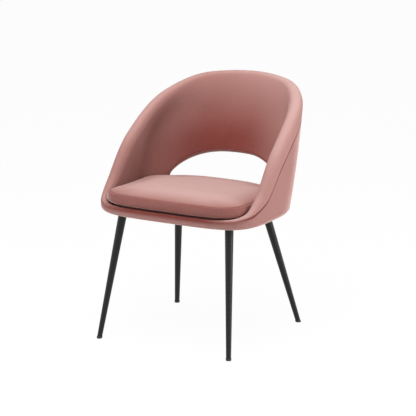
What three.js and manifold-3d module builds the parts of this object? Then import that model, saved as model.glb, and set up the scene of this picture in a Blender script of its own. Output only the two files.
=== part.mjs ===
// Dining chair with an upholstered bucket shell, a half-moon opening in its back and a seat pad.
// Lengths are millimetres and +Z is up. The chair faces -Y, and left and right are the sitter's.
import * as THREE from 'three';
import { mergeVertices } from 'three/addons/utils/BufferGeometryUtils.js';
import Module from 'manifold-3d';

const wasm = await Module();
wasm.setup();

// Driving dimensions

const fit = {
  gap: 0.3, // between pieces that lie against each other
  overrun: 12, // how far a cutter runs past what it cuts
};

// The finished shell: its plan is measured at a low and a high level, and halfway between them
const shell = {
  underside: 400.6, // height of the flat underside above the floor
  lowRise: 29.4,
  topRise: 379.4,
  halfWidthLow: 288.2,
  halfWidthMiddle: 285.2,
  halfWidthTop: 255.3,
  backReachLow: 214.4,
  backReachMiddle: 278.3,
  backReachTop: 391.1,
  widestLow: -23.4, // where along Y the plan is widest
  widestTop: 84.1,
  frontReach: 233.6,
  bottomRadius: 19.9,
  backThickness: 30, // of the wall round the opening
};
const backRoundness = 2.13; // exponents of the plan's rounded outline
const frontRoundness = 4.12;

const rim = {
  thickness: 44.6,
  lipThickness: 18,
  fade: 110, // the wall thins to its lower thickness over this height
  backRise: 350.3, // rises are above the underside
  backCornerRise: 345.2,
  shoulderRise: 307.6,
  armRise: 201.6,
  armFrontRise: 72.2,
  cornerRise: 27.8,
  lipRise: 27.3,
};

// Distance of the rim seam from the outer edge of the rim, down the outside where it is negative
const seam = { back: -26, arm: -33, armFront: -16, corner: -7.5, lip: 3.3 };

const opening = {
  halfWidth: 212.1,
  widestRise: 54.4,
  upperHeight: 78.9,
  lowerHeight: 16.4,
};
const archFlatness = 2.75; // exponents of the opening's outline
const archFullness = 1.37;
const sillFlatness = 3.4;

const cloth = { velvet: 1.5, dustCover: 0.8, underCloth: 1 };
const foam = { outer: 8 };
const core = { thickness: 7, flangeWidth: 50, frontSetback: 64 };
const board = { thickness: 12 };

const pad = {
  boxingHeight: 30,
  crownRise: 17,
  armClearance: 1.5,
  backClearance: 5,
  frontSetback: 8.5,
  lipClearance: 0.9,
  boardThickness: 12,
  boardSetback: 16,
  hem: 22,
  bulge: 2.2, // of the boxing beyond its two seams
  boltSideInset: 183.2, // of the pad's bolts, from the shell's sides, front and back
  boltFrontInset: 113.6,
  boltBackInset: 144.4,
};

// Feet and leg tops lie that far inside the shell's sides, and inside or past its front and back
const leg = {
  frontFootSideInset: 53.5,
  frontFootReach: 2.7,
  backFootSideInset: 59.9,
  backFootReach: 21.9,
  frontTopSideInset: 96.6,
  frontTopInset: 76.4,
  backTopSideInset: 131.3,
  backTopInset: 84.7,
  footRadius: 7.8,
  topRadius: 13.5,
  wall: 1.6,
};
const cap = { height: 7.5, rimStep: 0.9, edge: 1.2, plugLength: 13 };
const plate = { thickness: 3, boltCircle: 24, cornerRadius: 11.5 };

const bolt = { radius: 3, headRadius: 6.4, headHeight: 3.5, endInset: 0.5 };
const nut = { barrelRadius: 4.1, flangeRadius: 8, flangeThickness: 1.2, barrelLength: 9 };
const screw = { radius: 2, headRadius: 4.2, headHeight: 2.6, inset: 38, reach: 18 };
const hem = { coverInset: 36, dustInset: 22 };

// Heights and depths that follow from the sizes above

const dustTop = shell.underside - fit.gap;
const dustBottom = dustTop - cloth.dustCover;
const plateTop = dustBottom - fit.gap;
const plateBottom = plateTop - plate.thickness;
const legTop = plateBottom - fit.gap;
const legHeadTop = plateBottom - fit.gap;
const padHeadTop = dustBottom - fit.gap;
const bottomLevel = shell.underside + shell.bottomRadius;
const clothStep = cloth.velvet + fit.gap;
const boardBottom = shell.underside + clothStep;
const boardTop = boardBottom + board.thickness;
const boardInset = shell.bottomRadius + fit.gap;
const flangeBottom = boardTop + fit.gap;
const flangeTop = flangeBottom + core.thickness;
const deckBase = flangeTop + fit.gap;
const lipCrest = shell.underside + rim.lipRise + rim.lipThickness / 2;
const padBase = lipCrest + pad.lipClearance;
const padBoardBottom = padBase + clothStep;
const padBoardTop = padBoardBottom + pad.boardThickness;
const padSeam = padBase + pad.boxingHeight;
const coreDepth = clothStep + foam.outer + fit.gap;
const coreInnerDepth = coreDepth + core.thickness;
const flangeInset = coreDepth + core.flangeWidth;
const splitY = core.frontSetback - shell.frontReach; // the moulded shell ends here, the lip foam begins

// Angles round the plan run from the middle of the back, 0, to the middle of the front, half a turn
const degree = Math.PI / 180;
const lipTaperStart = 100 * degree;
const lipTaperEnd = 134 * degree;
const armTaperStart = 58 * degree;
const armTaperEnd = 85 * degree;
const overhangStart = 124 * degree;
const overhangEnd = 134 * degree;
const evenStationsEnd = 120 * degree;
const cornerDegrees = [126, 132, 138, 145, 154, 166];

const rimTurnShares = [0, 0.178, 0.344, 0.511, 0.622, 0.722, 1];
const rimRises = [
  rim.backRise,
  rim.backCornerRise,
  rim.shoulderRise,
  rim.armRise,
  rim.armFrontRise,
  rim.cornerRise,
  rim.lipRise,
];
const seamTurnShares = [0, 0.49, 0.59, 0.73, 0.83, 1];
const seamRuns = [seam.back, seam.arm, seam.armFront, seam.corner, seam.lip, seam.lip];

// Curves and blends

function mix(from, to, share) {
  return from + (to - from) * share;
}

function ease(value, start, end) {
  const share = Math.min(Math.max((value - start) / (end - start), 0), 1);
  return share * share * (3 - 2 * share);
}

// A smooth curve through named heights that never overshoots them, level at both ends
function smoothCurve(stations, heights) {
  const last = stations.length - 1;
  const slopes = stations.map((station, i) => {
    if (i === 0 || i === last) return 0;
    const before = (heights[i] - heights[i - 1]) / (station - stations[i - 1]);
    const after = (heights[i + 1] - heights[i]) / (stations[i + 1] - station);
    return before * after > 0 ? (2 * before * after) / (before + after) : 0;
  });
  return (value) => {
    let i = 0;
    while (i < last - 1 && value > stations[i + 1]) i += 1;
    const span = stations[i + 1] - stations[i];
    const t = (value - stations[i]) / span;
    const start = heights[i] * (1 + 2 * t) + slopes[i] * span * t;
    const end = heights[i + 1] * (3 - 2 * t) - slopes[i + 1] * span * (1 - t);
    return start * (1 - t) * (1 - t) + end * t * t;
  };
}

const rimRiseAt = smoothCurve(rimTurnShares, rimRises);
const seamRunAt = smoothCurve(seamTurnShares, seamRuns);

function rimHeight(turn) {
  return shell.underside + rimRiseAt(Math.abs(turn) / Math.PI);
}

function rimThickness(turn) {
  const share = ease(Math.abs(turn), lipTaperStart, lipTaperEnd);
  return mix(rim.thickness, rim.lipThickness, share);
}

function wallThickness(turn, z) {
  const armShare = ease(Math.abs(turn), armTaperStart, armTaperEnd);
  const low = mix(shell.backThickness, rimThickness(turn), armShare);
  return mix(rimThickness(turn), low, ease(rimHeight(turn) - z, 0, rim.fade));
}

// The shell's plan and its finished skin

function throughThree(low, middle, top, share) {
  const ends = low * (1 - share) * (1 - 2 * share) + top * share * (2 * share - 1);
  return ends + middle * 4 * share * (1 - share);
}

function planPoint(turn, z) {
  const share = (z - shell.underside - shell.lowRise) / (shell.topRise - shell.lowRise);
  const { halfWidthLow, halfWidthMiddle, halfWidthTop } = shell;
  const { backReachLow, backReachMiddle, backReachTop } = shell;
  const halfWidth = throughThree(halfWidthLow, halfWidthMiddle, halfWidthTop, share);
  const backReach = throughThree(backReachLow, backReachMiddle, backReachTop, share);
  const widest = mix(shell.widestLow, shell.widestTop, share);
  const sine = Math.sin(turn);
  const cosine = Math.cos(turn);
  const roundness = mix(frontRoundness, backRoundness, (1 + cosine) / 2);
  const sum = Math.abs(sine) ** roundness + Math.abs(cosine) ** roundness;
  const radius = sum ** (-1 / roundness);
  const reach = cosine > 0 ? backReach - widest : widest + shell.frontReach;
  return new THREE.Vector3(halfWidth * radius * sine, widest + reach * radius * cosine, z);
}

const nudge = 0.01 * degree;

function planNormal(turn, z) {
  const along = planPoint(turn - nudge, z).sub(planPoint(turn + nudge, z));
  return new THREE.Vector3(along.y, -along.x, 0).normalize();
}

function wallNormal(turn, z) {
  const step = shell.bottomRadius * nudge;
  const level = Math.max(z, shell.underside + shell.bottomRadius);
  const across = planPoint(turn + nudge, level).sub(planPoint(turn - nudge, level));
  const upward = planPoint(turn, level + step).sub(planPoint(turn, level - step));
  return upward.cross(across).normalize();
}

// Depth is measured inwards from the finished outer skin
function wallPoint(turn, z, depth) {
  return planPoint(turn, z).addScaledVector(wallNormal(turn, z), -depth);
}

function ledgePoint(turn, z, inset) {
  return planPoint(turn, z).addScaledVector(planNormal(turn, z), -inset);
}

// Lean is 0 under the seat and a quarter turn where the rounded bottom edge meets the wall
function bottomEdgePoint(turn, lean, depth) {
  const radius = shell.bottomRadius - depth;
  const z = shell.underside + shell.bottomRadius - radius * Math.cos(lean);
  return ledgePoint(turn, z, shell.bottomRadius - radius * Math.sin(lean));
}

function rimFrame(turn) {
  const middle = (at) => wallPoint(at, rimHeight(at), rimThickness(at) / 2);
  const outward = wallNormal(turn, rimHeight(turn));
  const along = middle(turn + nudge).sub(middle(turn - nudge)).normalize();
  const upward = along.cross(outward).normalize();
  return { middle: middle(turn), outward, upward };
}

function rimPoint(turn, sweep, depth) {
  const { middle, outward, upward } = rimFrame(turn);
  const radius = rimThickness(turn) / 2 - depth;
  middle.addScaledVector(outward, radius * Math.cos(sweep));
  return middle.addScaledVector(upward, radius * Math.sin(sweep));
}

// The level to ask wallPoint for, so that a point that deep in the leaning wall lies at height z
function levelFor(turn, z, depthAt) {
  let level = z;
  for (let pass = 0; pass < 4; pass += 1) {
    level = z + wallNormal(turn, level).z * depthAt(level);
  }
  return level;
}

// A skin point, a run along the section from the rim's outer edge, negative down the outside
function skinPoint(turn, run, depth) {
  const radius = rimThickness(turn) / 2;
  if (run <= 0) return wallPoint(turn, rimHeight(turn) + run, depth);
  return rimPoint(turn, Math.min(run / radius, Math.PI), depth);
}

// Solids from rows of points

function finished(points, indices) {
  let volume = 0;
  for (let i = 0; i < indices.length; i += 3) {
    const [a, b, c] = indices.slice(i, i + 3).map((index) => points[index]);
    volume += a.dot(b.clone().cross(c));
  }
  const geometry = new THREE.BufferGeometry().setFromPoints(points);
  geometry.setIndex(volume < 0 ? indices.slice().reverse() : indices);
  return geometry;
}

function spread(from, to, count) {
  return Array.from({ length: count + 1 }, (_, i) => mix(from, to, i / count));
}

// A four-sided face split along its shorter diagonal, so that neighbouring layers split alike
function addFace(indices, points, a, b, c, d) {
  if (points[a].distanceTo(points[c]) <= points[b].distanceTo(points[d])) {
    indices.push(a, b, c, a, c, d);
  } else {
    indices.push(a, b, d, b, c, d);
  }
}

// A section of points, closed on itself, swept round the plan; the ends of an open sweep are capped
function sweep(turns, section, closed) {
  const rings = turns.map(section);
  const size = rings[0].length;
  const points = rings.flat();
  const indices = [];
  const spans = closed ? rings.length : rings.length - 1;
  for (let i = 0; i < spans; i += 1) {
    const here = i * size;
    const next = ((i + 1) % rings.length) * size;
    for (let k = 0; k < size; k += 1) {
      const after = (k + 1) % size;
      addFace(indices, points, here + k, here + after, next + after, next + k);
    }
  }
  if (!closed) {
    [0, rings.length - 1].forEach((i) => {
      const outward = planNormal(turns[i], bottomLevel);
      const flat = rings[i].map((point) => new THREE.Vector2(point.dot(outward), point.z));
      const flipped = THREE.ShapeUtils.isClockWise(flat) === (i === 0);
      THREE.ShapeUtils.triangulateShape(flat, []).forEach(([a, b, c]) => {
        const face = flipped ? [a, b, c] : [a, c, b];
        face.forEach((k) => indices.push(i * size + k));
      });
    });
  }
  return finished(points, indices);
}

// A sheet swept between two rows of points, its front and its back
function sweptSheet(turns, front, back, closed) {
  return sweep(turns, (turn) => [...front(turn), ...back(turn).reverse()], closed);
}

// A closed form whose section runs out from one middle point and in again to another
function roundForm(turns, section, firstPole, lastPole) {
  const rings = turns.map(section);
  const size = rings[0].length;
  const points = [firstPole, lastPole, ...rings.flat()];
  const at = (i, k) => 2 + (i % rings.length) * size + k;
  const indices = [];
  for (let i = 0; i < rings.length; i += 1) {
    indices.push(0, at(i + 1, 0), at(i, 0));
    indices.push(1, at(i, size - 1), at(i + 1, size - 1));
    for (let k = 0; k < size - 1; k += 1) {
      addFace(indices, points, at(i, k), at(i + 1, k), at(i + 1, k + 1), at(i, k + 1));
    }
  }
  return finished(points, indices);
}

// A flat sheet or board with a given outline
function slab(points, bottom, top) {
  const shape = new THREE.Shape(points.map((point) => new THREE.Vector2(point.x, point.y)));
  const geometry = new THREE.ExtrudeGeometry(shape, { depth: top - bottom, bevelEnabled: false });
  return geometry.translate(0, 0, bottom);
}

// Joins and cuts

function solid(geometry) {
  const bare = geometry.clone();
  bare.deleteAttribute('normal');
  bare.deleteAttribute('uv');
  const merged = mergeVertices(bare);
  const mesh = new wasm.Mesh({
    numProp: 3,
    vertProperties: new Float32Array(merged.attributes.position.array),
    triVerts: new Uint32Array(merged.index.array),
  });
  return new wasm.Manifold(mesh);
}

function surface(body) {
  const mesh = body.getMesh();
  const geometry = new THREE.BufferGeometry();
  const positions = new THREE.BufferAttribute(new Float32Array(mesh.vertProperties), 3);
  geometry.setAttribute('position', positions);
  geometry.setIndex(new THREE.BufferAttribute(new Uint32Array(mesh.triVerts), 1));
  return geometry;
}

function without(body, cutters) {
  return cutters.reduce((rest, cutter) => rest.subtract(cutter), body);
}

function cut(geometry, cutters) {
  return surface(without(solid(geometry), cutters));
}

// What lies behind the line where the moulded shell ends, and what lies in front of it
function behindSplit(geometry) {
  return solid(geometry).trimByPlane([0, 1, 0], splitY + fit.gap / 2);
}

function beforeSplit(geometry) {
  return solid(geometry).trimByPlane([0, -1, 0], fit.gap / 2 - splitY);
}

// A round piece or cutter on a vertical axis, its section given as radius and height pairs
function turned(section, sides, place) {
  const points = section.map(([radius, z]) => new THREE.Vector2(radius, z));
  const geometry = new THREE.LatheGeometry(points, sides);
  geometry.rotateX(Math.PI / 2);
  return geometry.translate(place.x, place.y, 0);
}

const fastenerSides = 6;

function roundCutter(place, steps) {
  const low = steps[0][1];
  const high = steps[steps.length - 1][1];
  return solid(turned([[0, low], ...steps, [0, high]], fastenerSides, place));
}

// Places of the legs and fasteners

const sides = [
  { side: 'left', x: 1 },
  { side: 'right', x: -1 },
];

function frontPlace(x, sideInset, frontInset, z) {
  return new THREE.Vector3(x * (shell.halfWidthLow - sideInset), frontInset - shell.frontReach, z);
}

function backPlace(x, sideInset, backInset, z) {
  return new THREE.Vector3(x * (shell.halfWidthLow - sideInset), shell.backReachLow - backInset, z);
}

const legs = sides.flatMap(({ side, x }) => [
  {
    name: `front_${side}`,
    foot: frontPlace(x, leg.frontFootSideInset, -leg.frontFootReach, 0),
    top: frontPlace(x, leg.frontTopSideInset, leg.frontTopInset, legTop),
  },
  {
    name: `back_${side}`,
    foot: backPlace(x, leg.backFootSideInset, -leg.backFootReach, 0),
    top: backPlace(x, leg.backTopSideInset, leg.backTopInset, legTop),
  },
]);

// The bolts flank the leg and lie behind it, clear of its outward splay
const boltTurns = [80 * degree, 180 * degree, -80 * degree];

function plateBolts({ foot, top }) {
  const splay = Math.atan2(foot.y - top.y, foot.x - top.x);
  return boltTurns.map((turn) => {
    const x = top.x + plate.boltCircle * Math.cos(splay + turn);
    const y = top.y + plate.boltCircle * Math.sin(splay + turn);
    return new THREE.Vector3(x, y, 0);
  });
}

const legBoltPlaces = legs.flatMap(plateBolts);
const padBoltPlaces = sides.flatMap(({ x }) => [
  frontPlace(x, pad.boltSideInset, pad.boltFrontInset, 0),
  backPlace(x, pad.boltSideInset, pad.boltBackInset, 0),
]);
const padBoltNames = sides.flatMap(({ side }) => [`front_${side}`, `back_${side}`]);
const screwDegrees = [15, 62, 88, 106];
const screwPlaces = sides.flatMap(({ x }) =>
  screwDegrees.map((turn) => ledgePoint(x * turn * degree, flangeBottom, screw.inset)),
);
const screwNames = sides.flatMap(({ side }) => screwDegrees.map((turn, i) => `${side}_${i + 1}`));

// Stations round the plan, closer together at the front corners

const cornerTurns = cornerDegrees.map((turn) => turn * degree);
const halfTurns = [...spread(0, evenStationsEnd, 12), ...cornerTurns];
const otherTurns = halfTurns.slice(1).map((turn) => -turn).reverse();
const ringTurns = [...halfTurns, Math.PI, ...otherTurns];
const shellTurns = [...otherTurns, ...halfTurns].filter((turn) => Math.abs(turn) <= cornerTurns[0]);
const lipTurns = ringTurns.filter((turn) => Math.abs(turn) > lipTaperStart);

// The shell's layers, which share their rows so that they lie at an even distance

const bottomLeans = [30 * degree, 60 * degree, 90 * degree];
const wallShares = [0.25, 0.5, 0.75];
const rollShares = [0, 0.3, 0.475, 0.65, 0.825, 1];
const innerShares = [0.2, 0.4, 0.6, 0.8, 1];

function seamRun(turn) {
  return seamRunAt(Math.abs(turn) / Math.PI);
}

// Rows up the outer wall, ending at the rim's seam
function outerWallRows(turn, depth) {
  const end = rimHeight(turn) + Math.min(seamRun(turn), 0);
  const rows = wallShares.map((share) => wallPoint(turn, mix(bottomLevel, end, share), depth));
  return [...rows, skinPoint(turn, seamRun(turn), depth)];
}

function outsideRows(turn, depth) {
  const edge = bottomLeans.map((lean) => bottomEdgePoint(turn, lean, depth));
  return [...edge, ...outerWallRows(turn, depth)];
}

// Rows over the rim, from its seam to the inner edge of the roll
function rimRows(turn, depth) {
  const start = seamRun(turn) + fit.gap;
  const end = (Math.PI * rimThickness(turn)) / 2;
  return rollShares.map((share) => skinPoint(turn, mix(start, end, share), depth));
}

// Rows down a face inside the rim; depthAt gives its depth from the outer skin
function downwardRows(turn, z, depthAt) {
  const end = levelFor(turn, z, depthAt);
  return innerShares.map((share) => {
    const level = mix(rimHeight(turn), end, share);
    return wallPoint(turn, level, depthAt(level));
  });
}

function insideRows(turn, depth) {
  return downwardRows(turn, deckBase + fit.gap, (level) => wallThickness(turn, level) - depth);
}

function wallFoot(turn, z, depth) {
  return wallPoint(turn, levelFor(turn, z, () => depth), depth);
}

function outerCover() {
  const rows = (depth) => (turn) => [
    ledgePoint(turn, shell.underside + depth, hem.coverInset),
    bottomEdgePoint(turn, 0, depth),
    ...outsideRows(turn, depth),
  ];
  return sweptSheet(ringTurns, rows(0), rows(cloth.velvet), true);
}

function innerCover() {
  const rows = (depth) => (turn) => [...rimRows(turn, depth), ...insideRows(turn, depth)];
  return sweptSheet(ringTurns, rows(0), rows(cloth.velvet), true);
}

function outerFoam() {
  const depth = coreDepth - fit.gap;
  const low = bottomEdgePoint(0, bottomLeans[0], clothStep).z;
  const section = (turn) => [
    ...outsideRows(turn, clothStep),
    ...outerWallRows(turn, depth).reverse(),
    wallFoot(turn, boardTop, depth),
    ledgePoint(turn, boardTop, boardInset - fit.gap),
    ledgePoint(turn, low, boardInset - fit.gap),
  ];
  return sweep(shellTurns, section, false);
}

function backShell() {
  const section = (turn) => [
    ledgePoint(turn, flangeBottom, flangeInset),
    wallFoot(turn, flangeBottom, coreDepth),
    ...outerWallRows(turn, coreDepth),
    wallPoint(turn, rimHeight(turn), coreDepth),
    wallPoint(turn, rimHeight(turn), coreInnerDepth),
    ...downwardRows(turn, flangeTop, () => coreInnerDepth),
    ledgePoint(turn, flangeTop, flangeInset),
  ];
  return sweep(shellTurns, section, false);
}

function innerFoam() {
  const face = coreDepth - fit.gap;
  const back = coreInnerDepth + fit.gap;
  const section = (turn) => {
    const { upward } = rimFrame(turn);
    const over = [back, face].map((depth) =>
      wallPoint(turn, rimHeight(turn), depth).addScaledVector(upward, fit.gap),
    );
    return [
      ...rimRows(turn, clothStep),
      ...insideRows(turn, clothStep),
      ...downwardRows(turn, deckBase, () => back).reverse(),
      ...over,
      wallPoint(turn, rimHeight(turn) + seamRun(turn) + fit.gap, face),
    ];
  };
  return sweep(shellTurns, section, false);
}

function lipFoam() {
  const low = bottomEdgePoint(0, bottomLeans[0], clothStep).z;
  const section = (turn) => {
    const inside = insideRows(turn, clothStep);
    return [
      ...outsideRows(turn, clothStep),
      ...rimRows(turn, clothStep),
      ...inside,
      inside[inside.length - 1].clone().setZ(flangeTop),
      ledgePoint(turn, flangeTop, flangeInset),
      ledgePoint(turn, flangeBottom, flangeInset),
      ledgePoint(turn, flangeBottom, boardInset - fit.gap),
      ledgePoint(turn, low, boardInset - fit.gap),
    ];
  };
  return sweep(lipTurns, section, false);
}

// The opening, cut square to the wall all round

function turnFor(x, z) {
  let low = -Math.PI / 2;
  let high = Math.PI / 2;
  for (let pass = 0; pass < 40; pass += 1) {
    const middle = (low + high) / 2;
    if (planPoint(middle, z).x < x) low = middle;
    else high = middle;
  }
  return (low + high) / 2;
}

function openingPoint(angle) {
  const cosine = Math.cos(angle);
  const sine = Math.sin(angle);
  const upper = sine >= 0;
  const flatness = upper ? archFlatness : sillFlatness;
  const fullness = upper ? archFullness : sillFlatness;
  const height = upper ? opening.upperHeight : -opening.lowerHeight;
  const x = opening.halfWidth * Math.sign(cosine) * Math.abs(cosine) ** (2 / flatness);
  const rise = height * Math.abs(sine) ** (2 / fullness);
  const z = shell.underside + opening.widestRise + rise;
  const turn = turnFor(x, z);
  return { point: planPoint(turn, z), normal: wallNormal(turn, z), turn, z };
}

const openingCount = 36;
const openingAngles = Array.from({ length: openingCount }, (_, i) => (i / openingCount) * 2 * Math.PI);
const openingRing = openingAngles.map(openingPoint);

// A tunnel through the wall, wider all round than the finished opening by the margin; its middle
// points lie far enough out and in for its ends to stay clear of the curved wall
function tunnel(margin) {
  const section = (i) => {
    const { point, normal, turn, z } = openingRing[i];
    const next = openingRing[(i + 1) % openingCount].point;
    const before = openingRing[(i + openingCount - 1) % openingCount].point;
    const aside = normal.clone().cross(next.clone().sub(before)).normalize();
    const edge = point.clone().addScaledVector(aside, margin);
    const depth = wallThickness(turn, z) + fit.overrun;
    return [
      edge.clone().addScaledVector(normal, fit.overrun),
      edge.clone().addScaledVector(normal, -depth),
    ];
  };
  const z = shell.underside + opening.widestRise;
  const outside = new THREE.Vector3(0, 2 * shell.backReachLow, z);
  const inside = new THREE.Vector3(0, 0, z);
  return solid(roundForm([...openingRing.keys()], section, outside, inside));
}

const layerTunnel = tunnel(clothStep);

function openingBand() {
  const turns = shellTurns.filter((turn) => Math.abs(turn) < armTaperEnd);
  const high = shell.underside + opening.widestRise + 2 * opening.upperHeight;
  const levels = spread(bottomLevel, high, 3);
  const outside = (turn) => levels.map((z) => wallPoint(turn, z, 0));
  const inside = (turn) => levels.map((z) => wallPoint(turn, z, wallThickness(turn, z)));
  const wall = solid(sweptSheet(turns, outside, inside, false));
  return surface(wall.intersect(tunnel(cloth.velvet)).subtract(tunnel(0)));
}

// Holes for the fasteners

function boltCutter(place) {
  return roundCutter(place, [
    [bolt.radius + fit.gap, 0],
    [bolt.radius + fit.gap, padSeam],
  ]);
}

function barrelCutter(place) {
  return roundCutter(place, [
    [nut.barrelRadius + fit.gap, 0],
    [nut.barrelRadius + fit.gap, padSeam],
  ]);
}

function teeNutCutter(place, top) {
  const shoulder = top - nut.flangeThickness - fit.gap;
  return roundCutter(place, [
    [nut.barrelRadius + fit.gap, 0],
    [nut.barrelRadius + fit.gap, shoulder],
    [nut.flangeRadius + fit.gap, shoulder],
    [nut.flangeRadius + fit.gap, top + fit.overrun],
  ]);
}

// A rounded triangle round a leg's three bolts
function plateSlab(place, cornerRadius, bottom, top) {
  const corners = plateBolts(place);
  const shape = new THREE.Shape();
  corners.forEach((corner, i) => {
    const before = corners[(i + 2) % 3];
    const after = corners[(i + 1) % 3];
    const start = Math.atan2(corner.y - before.y, corner.x - before.x) - Math.PI / 2;
    const end = Math.atan2(after.y - corner.y, after.x - corner.x) - Math.PI / 2;
    shape.absarc(corner.x, corner.y, cornerRadius, start, end, false);
  });
  return slab(shape.extractPoints(2).shape, bottom, top);
}

function nutPlateCutter(place) {
  const bottom = boardTop - nut.flangeThickness - fit.gap;
  return solid(plateSlab(place, nut.flangeRadius + fit.gap, bottom, boardTop + fit.overrun));
}

function screwCutter(place) {
  const shoulder = boardBottom + screw.headHeight + fit.gap;
  return roundCutter(place, [
    [screw.headRadius + fit.gap, 0],
    [screw.headRadius + fit.gap, shoulder],
    [screw.radius + fit.gap, shoulder],
    [screw.radius + fit.gap, boardBottom + screw.reach + fit.gap],
  ]);
}

// The seat board and what lies under and over it

function seatBoard() {
  const outline = ringTurns.map((turn) => ledgePoint(turn, boardBottom, boardInset));
  const legHoles = [...legBoltPlaces.map(barrelCutter), ...legs.map(nutPlateCutter)];
  const otherHoles = [...padBoltPlaces.map(boltCutter), ...screwPlaces.map(screwCutter)];
  return cut(slab(outline, boardBottom, boardTop), [...legHoles, ...otherHoles]);
}

function dustCover() {
  const outline = ringTurns.map((turn) => ledgePoint(turn, dustTop, hem.dustInset));
  const holes = [...legBoltPlaces, ...padBoltPlaces].map(boltCutter);
  return cut(slab(outline, dustBottom, dustTop), holes);
}

// The deck of foam between the board and the pad fills the shell out to the inner cover
function deckFoam() {
  const middle = (z) => new THREE.Vector3(0, shell.widestLow, z);
  const top = padBase - fit.gap;
  const section = (turn) => {
    const depthAt = (level) => wallThickness(turn, level) + fit.gap;
    const level = levelFor(turn, deckBase, depthAt);
    const edge = wallPoint(turn, level, depthAt(level));
    return [
      ledgePoint(turn, flangeBottom, flangeInset + fit.gap),
      ledgePoint(turn, deckBase, flangeInset + fit.gap),
      edge,
      edge.clone().setZ(top),
    ];
  };
  const form = roundForm(ringTurns, section, middle(flangeBottom), middle(top));
  return cut(form, padBoltPlaces.map(boltCutter));
}

// The seat pad: its edge follows the inside of the arms and the back, and overhangs the lip

function padEdge(turn, z, inset) {
  const backShare = ease(Math.abs(turn), armTaperEnd, armTaperStart);
  const clearance = mix(pad.armClearance, pad.backClearance, backShare);
  const depthAt = (level) => wallThickness(turn, level) + clearance;
  const level = levelFor(turn, padBase, depthAt);
  const inside = wallPoint(turn, level, depthAt(level));
  const front = ledgePoint(turn, padBase, pad.frontSetback);
  const share = ease(Math.abs(turn), overhangStart, overhangEnd);
  const edge = inside.lerp(front, share).setZ(z);
  return edge.addScaledVector(planNormal(turn, padBase), -inset);
}

function padMiddle(z) {
  return new THREE.Vector3(0, (shell.backReachLow - shell.frontReach) / 2, z);
}

const crownShares = [0, 0.03, 0.1, 0.25, 0.5];
const crownFullness = 4;
const sideShares = [0.25, 0.75, 1];

// Rows over the crown, inwards from the seam at height z
function crownRows(turn, inset, z) {
  const edge = padEdge(turn, z, inset);
  return crownShares.map((share) => {
    const rise = pad.crownRise * (1 - (1 - share) ** crownFullness);
    return edge.clone().lerp(padMiddle(z), share).setZ(z + rise);
  });
}

// Rows up the pad's side, which bulges between the bottom edge and the seam
function sideRows(turn, inset) {
  return sideShares.map((share) => {
    const drawnIn = pad.bulge * (2 * share - 1) ** 2;
    const z = mix(padBase + inset, padSeam - fit.gap, share);
    return padEdge(turn, z, inset + drawnIn);
  });
}

function padFoam() {
  const boardEdge = pad.boardSetback - fit.gap;
  const section = (turn) => [
    padEdge(turn, padBoardTop + fit.gap, boardEdge),
    padEdge(turn, padBoardBottom, boardEdge),
    padEdge(turn, padBoardBottom, clothStep + pad.bulge),
    ...sideRows(turn, clothStep).slice(0, -1),
    ...crownRows(turn, clothStep + pad.bulge, padSeam - fit.gap),
  ];
  const top = padMiddle(padSeam - fit.gap + pad.crownRise);
  return roundForm(ringTurns, section, padMiddle(padBoardTop + fit.gap), top);
}

function padTopPanel() {
  const section = (turn) => [
    ...crownRows(turn, pad.bulge, padSeam).reverse(),
    ...crownRows(turn, pad.bulge, padSeam + cloth.velvet),
  ];
  const low = padMiddle(padSeam + pad.crownRise);
  const high = padMiddle(padSeam + cloth.velvet + pad.crownRise);
  return roundForm(ringTurns, section, low, high);
}

function padBoxing() {
  const rows = (inset) => (turn) => [
    padEdge(turn, padBase + inset, pad.hem),
    padEdge(turn, padBase + inset, pad.bulge + inset),
    ...sideRows(turn, inset),
  ];
  return sweptSheet(ringTurns, rows(0), rows(cloth.velvet), true);
}

function padBoard() {
  const outline = ringTurns.map((turn) => padEdge(turn, padBoardBottom, pad.boardSetback));
  const holes = padBoltPlaces.map((place) => teeNutCutter(place, padBoardTop));
  return cut(slab(outline, padBoardBottom, padBoardTop), holes);
}

function padUnderCloth() {
  const outline = ringTurns.map((turn) => padEdge(turn, padBase, pad.hem + fit.gap));
  const sheet = slab(outline, padBase, padBase + cloth.underCloth);
  return cut(sheet, padBoltPlaces.map(boltCutter));
}

// Legs and their fittings

const legSides = 16;
const legSteps = Array.from({ length: legSides }, (_, i) => i);

// A level ring round a leaning round tube, stretched along its lean as a level cut is
function legRing({ foot, top }, z, radius) {
  const axis = top.clone().sub(foot);
  const centre = foot.clone().addScaledVector(axis, z / top.z);
  const lean = new THREE.Vector3(axis.x, axis.y, 0).normalize();
  const stretch = axis.length() / axis.z;
  return legSteps.map((step) => {
    const angle = (step / legSides) * 2 * Math.PI;
    const offset = new THREE.Vector3(radius * Math.cos(angle), radius * Math.sin(angle), 0);
    const along = offset.dot(lean) * (stretch - 1);
    return centre.clone().add(offset).addScaledVector(lean, along);
  });
}

function legRadius(z) {
  return mix(leg.footRadius, leg.topRadius, z / legTop);
}

function legTube(place) {
  const levels = [cap.height + fit.gap, legTop];
  const outer = levels.map((z) => legRing(place, z, legRadius(z)));
  const inner = levels.map((z) => legRing(place, z, legRadius(z) - leg.wall));
  const column = (rings) => (step) => rings.map((ring) => ring[step]);
  return sweptSheet(legSteps, column(outer), column(inner), true);
}

function footCap(place) {
  const body = leg.footRadius + cap.rimStep;
  const plug = legRadius(cap.height) - leg.wall - fit.gap;
  const end = cap.height + cap.plugLength;
  const rings = [
    legRing(place, 0, body - cap.edge),
    legRing(place, cap.edge, body),
    legRing(place, cap.height, body),
    legRing(place, cap.height, plug),
    legRing(place, end, plug),
  ];
  const tip = place.foot.clone().lerp(place.top, end / place.top.z);
  return roundForm(legSteps, (step) => rings.map((ring) => ring[step]), place.foot, tip);
}

function legPlate(place) {
  const sheet = plateSlab(place, plate.cornerRadius, plateBottom, plateTop);
  return cut(sheet, plateBolts(place).map(boltCutter));
}

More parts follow.
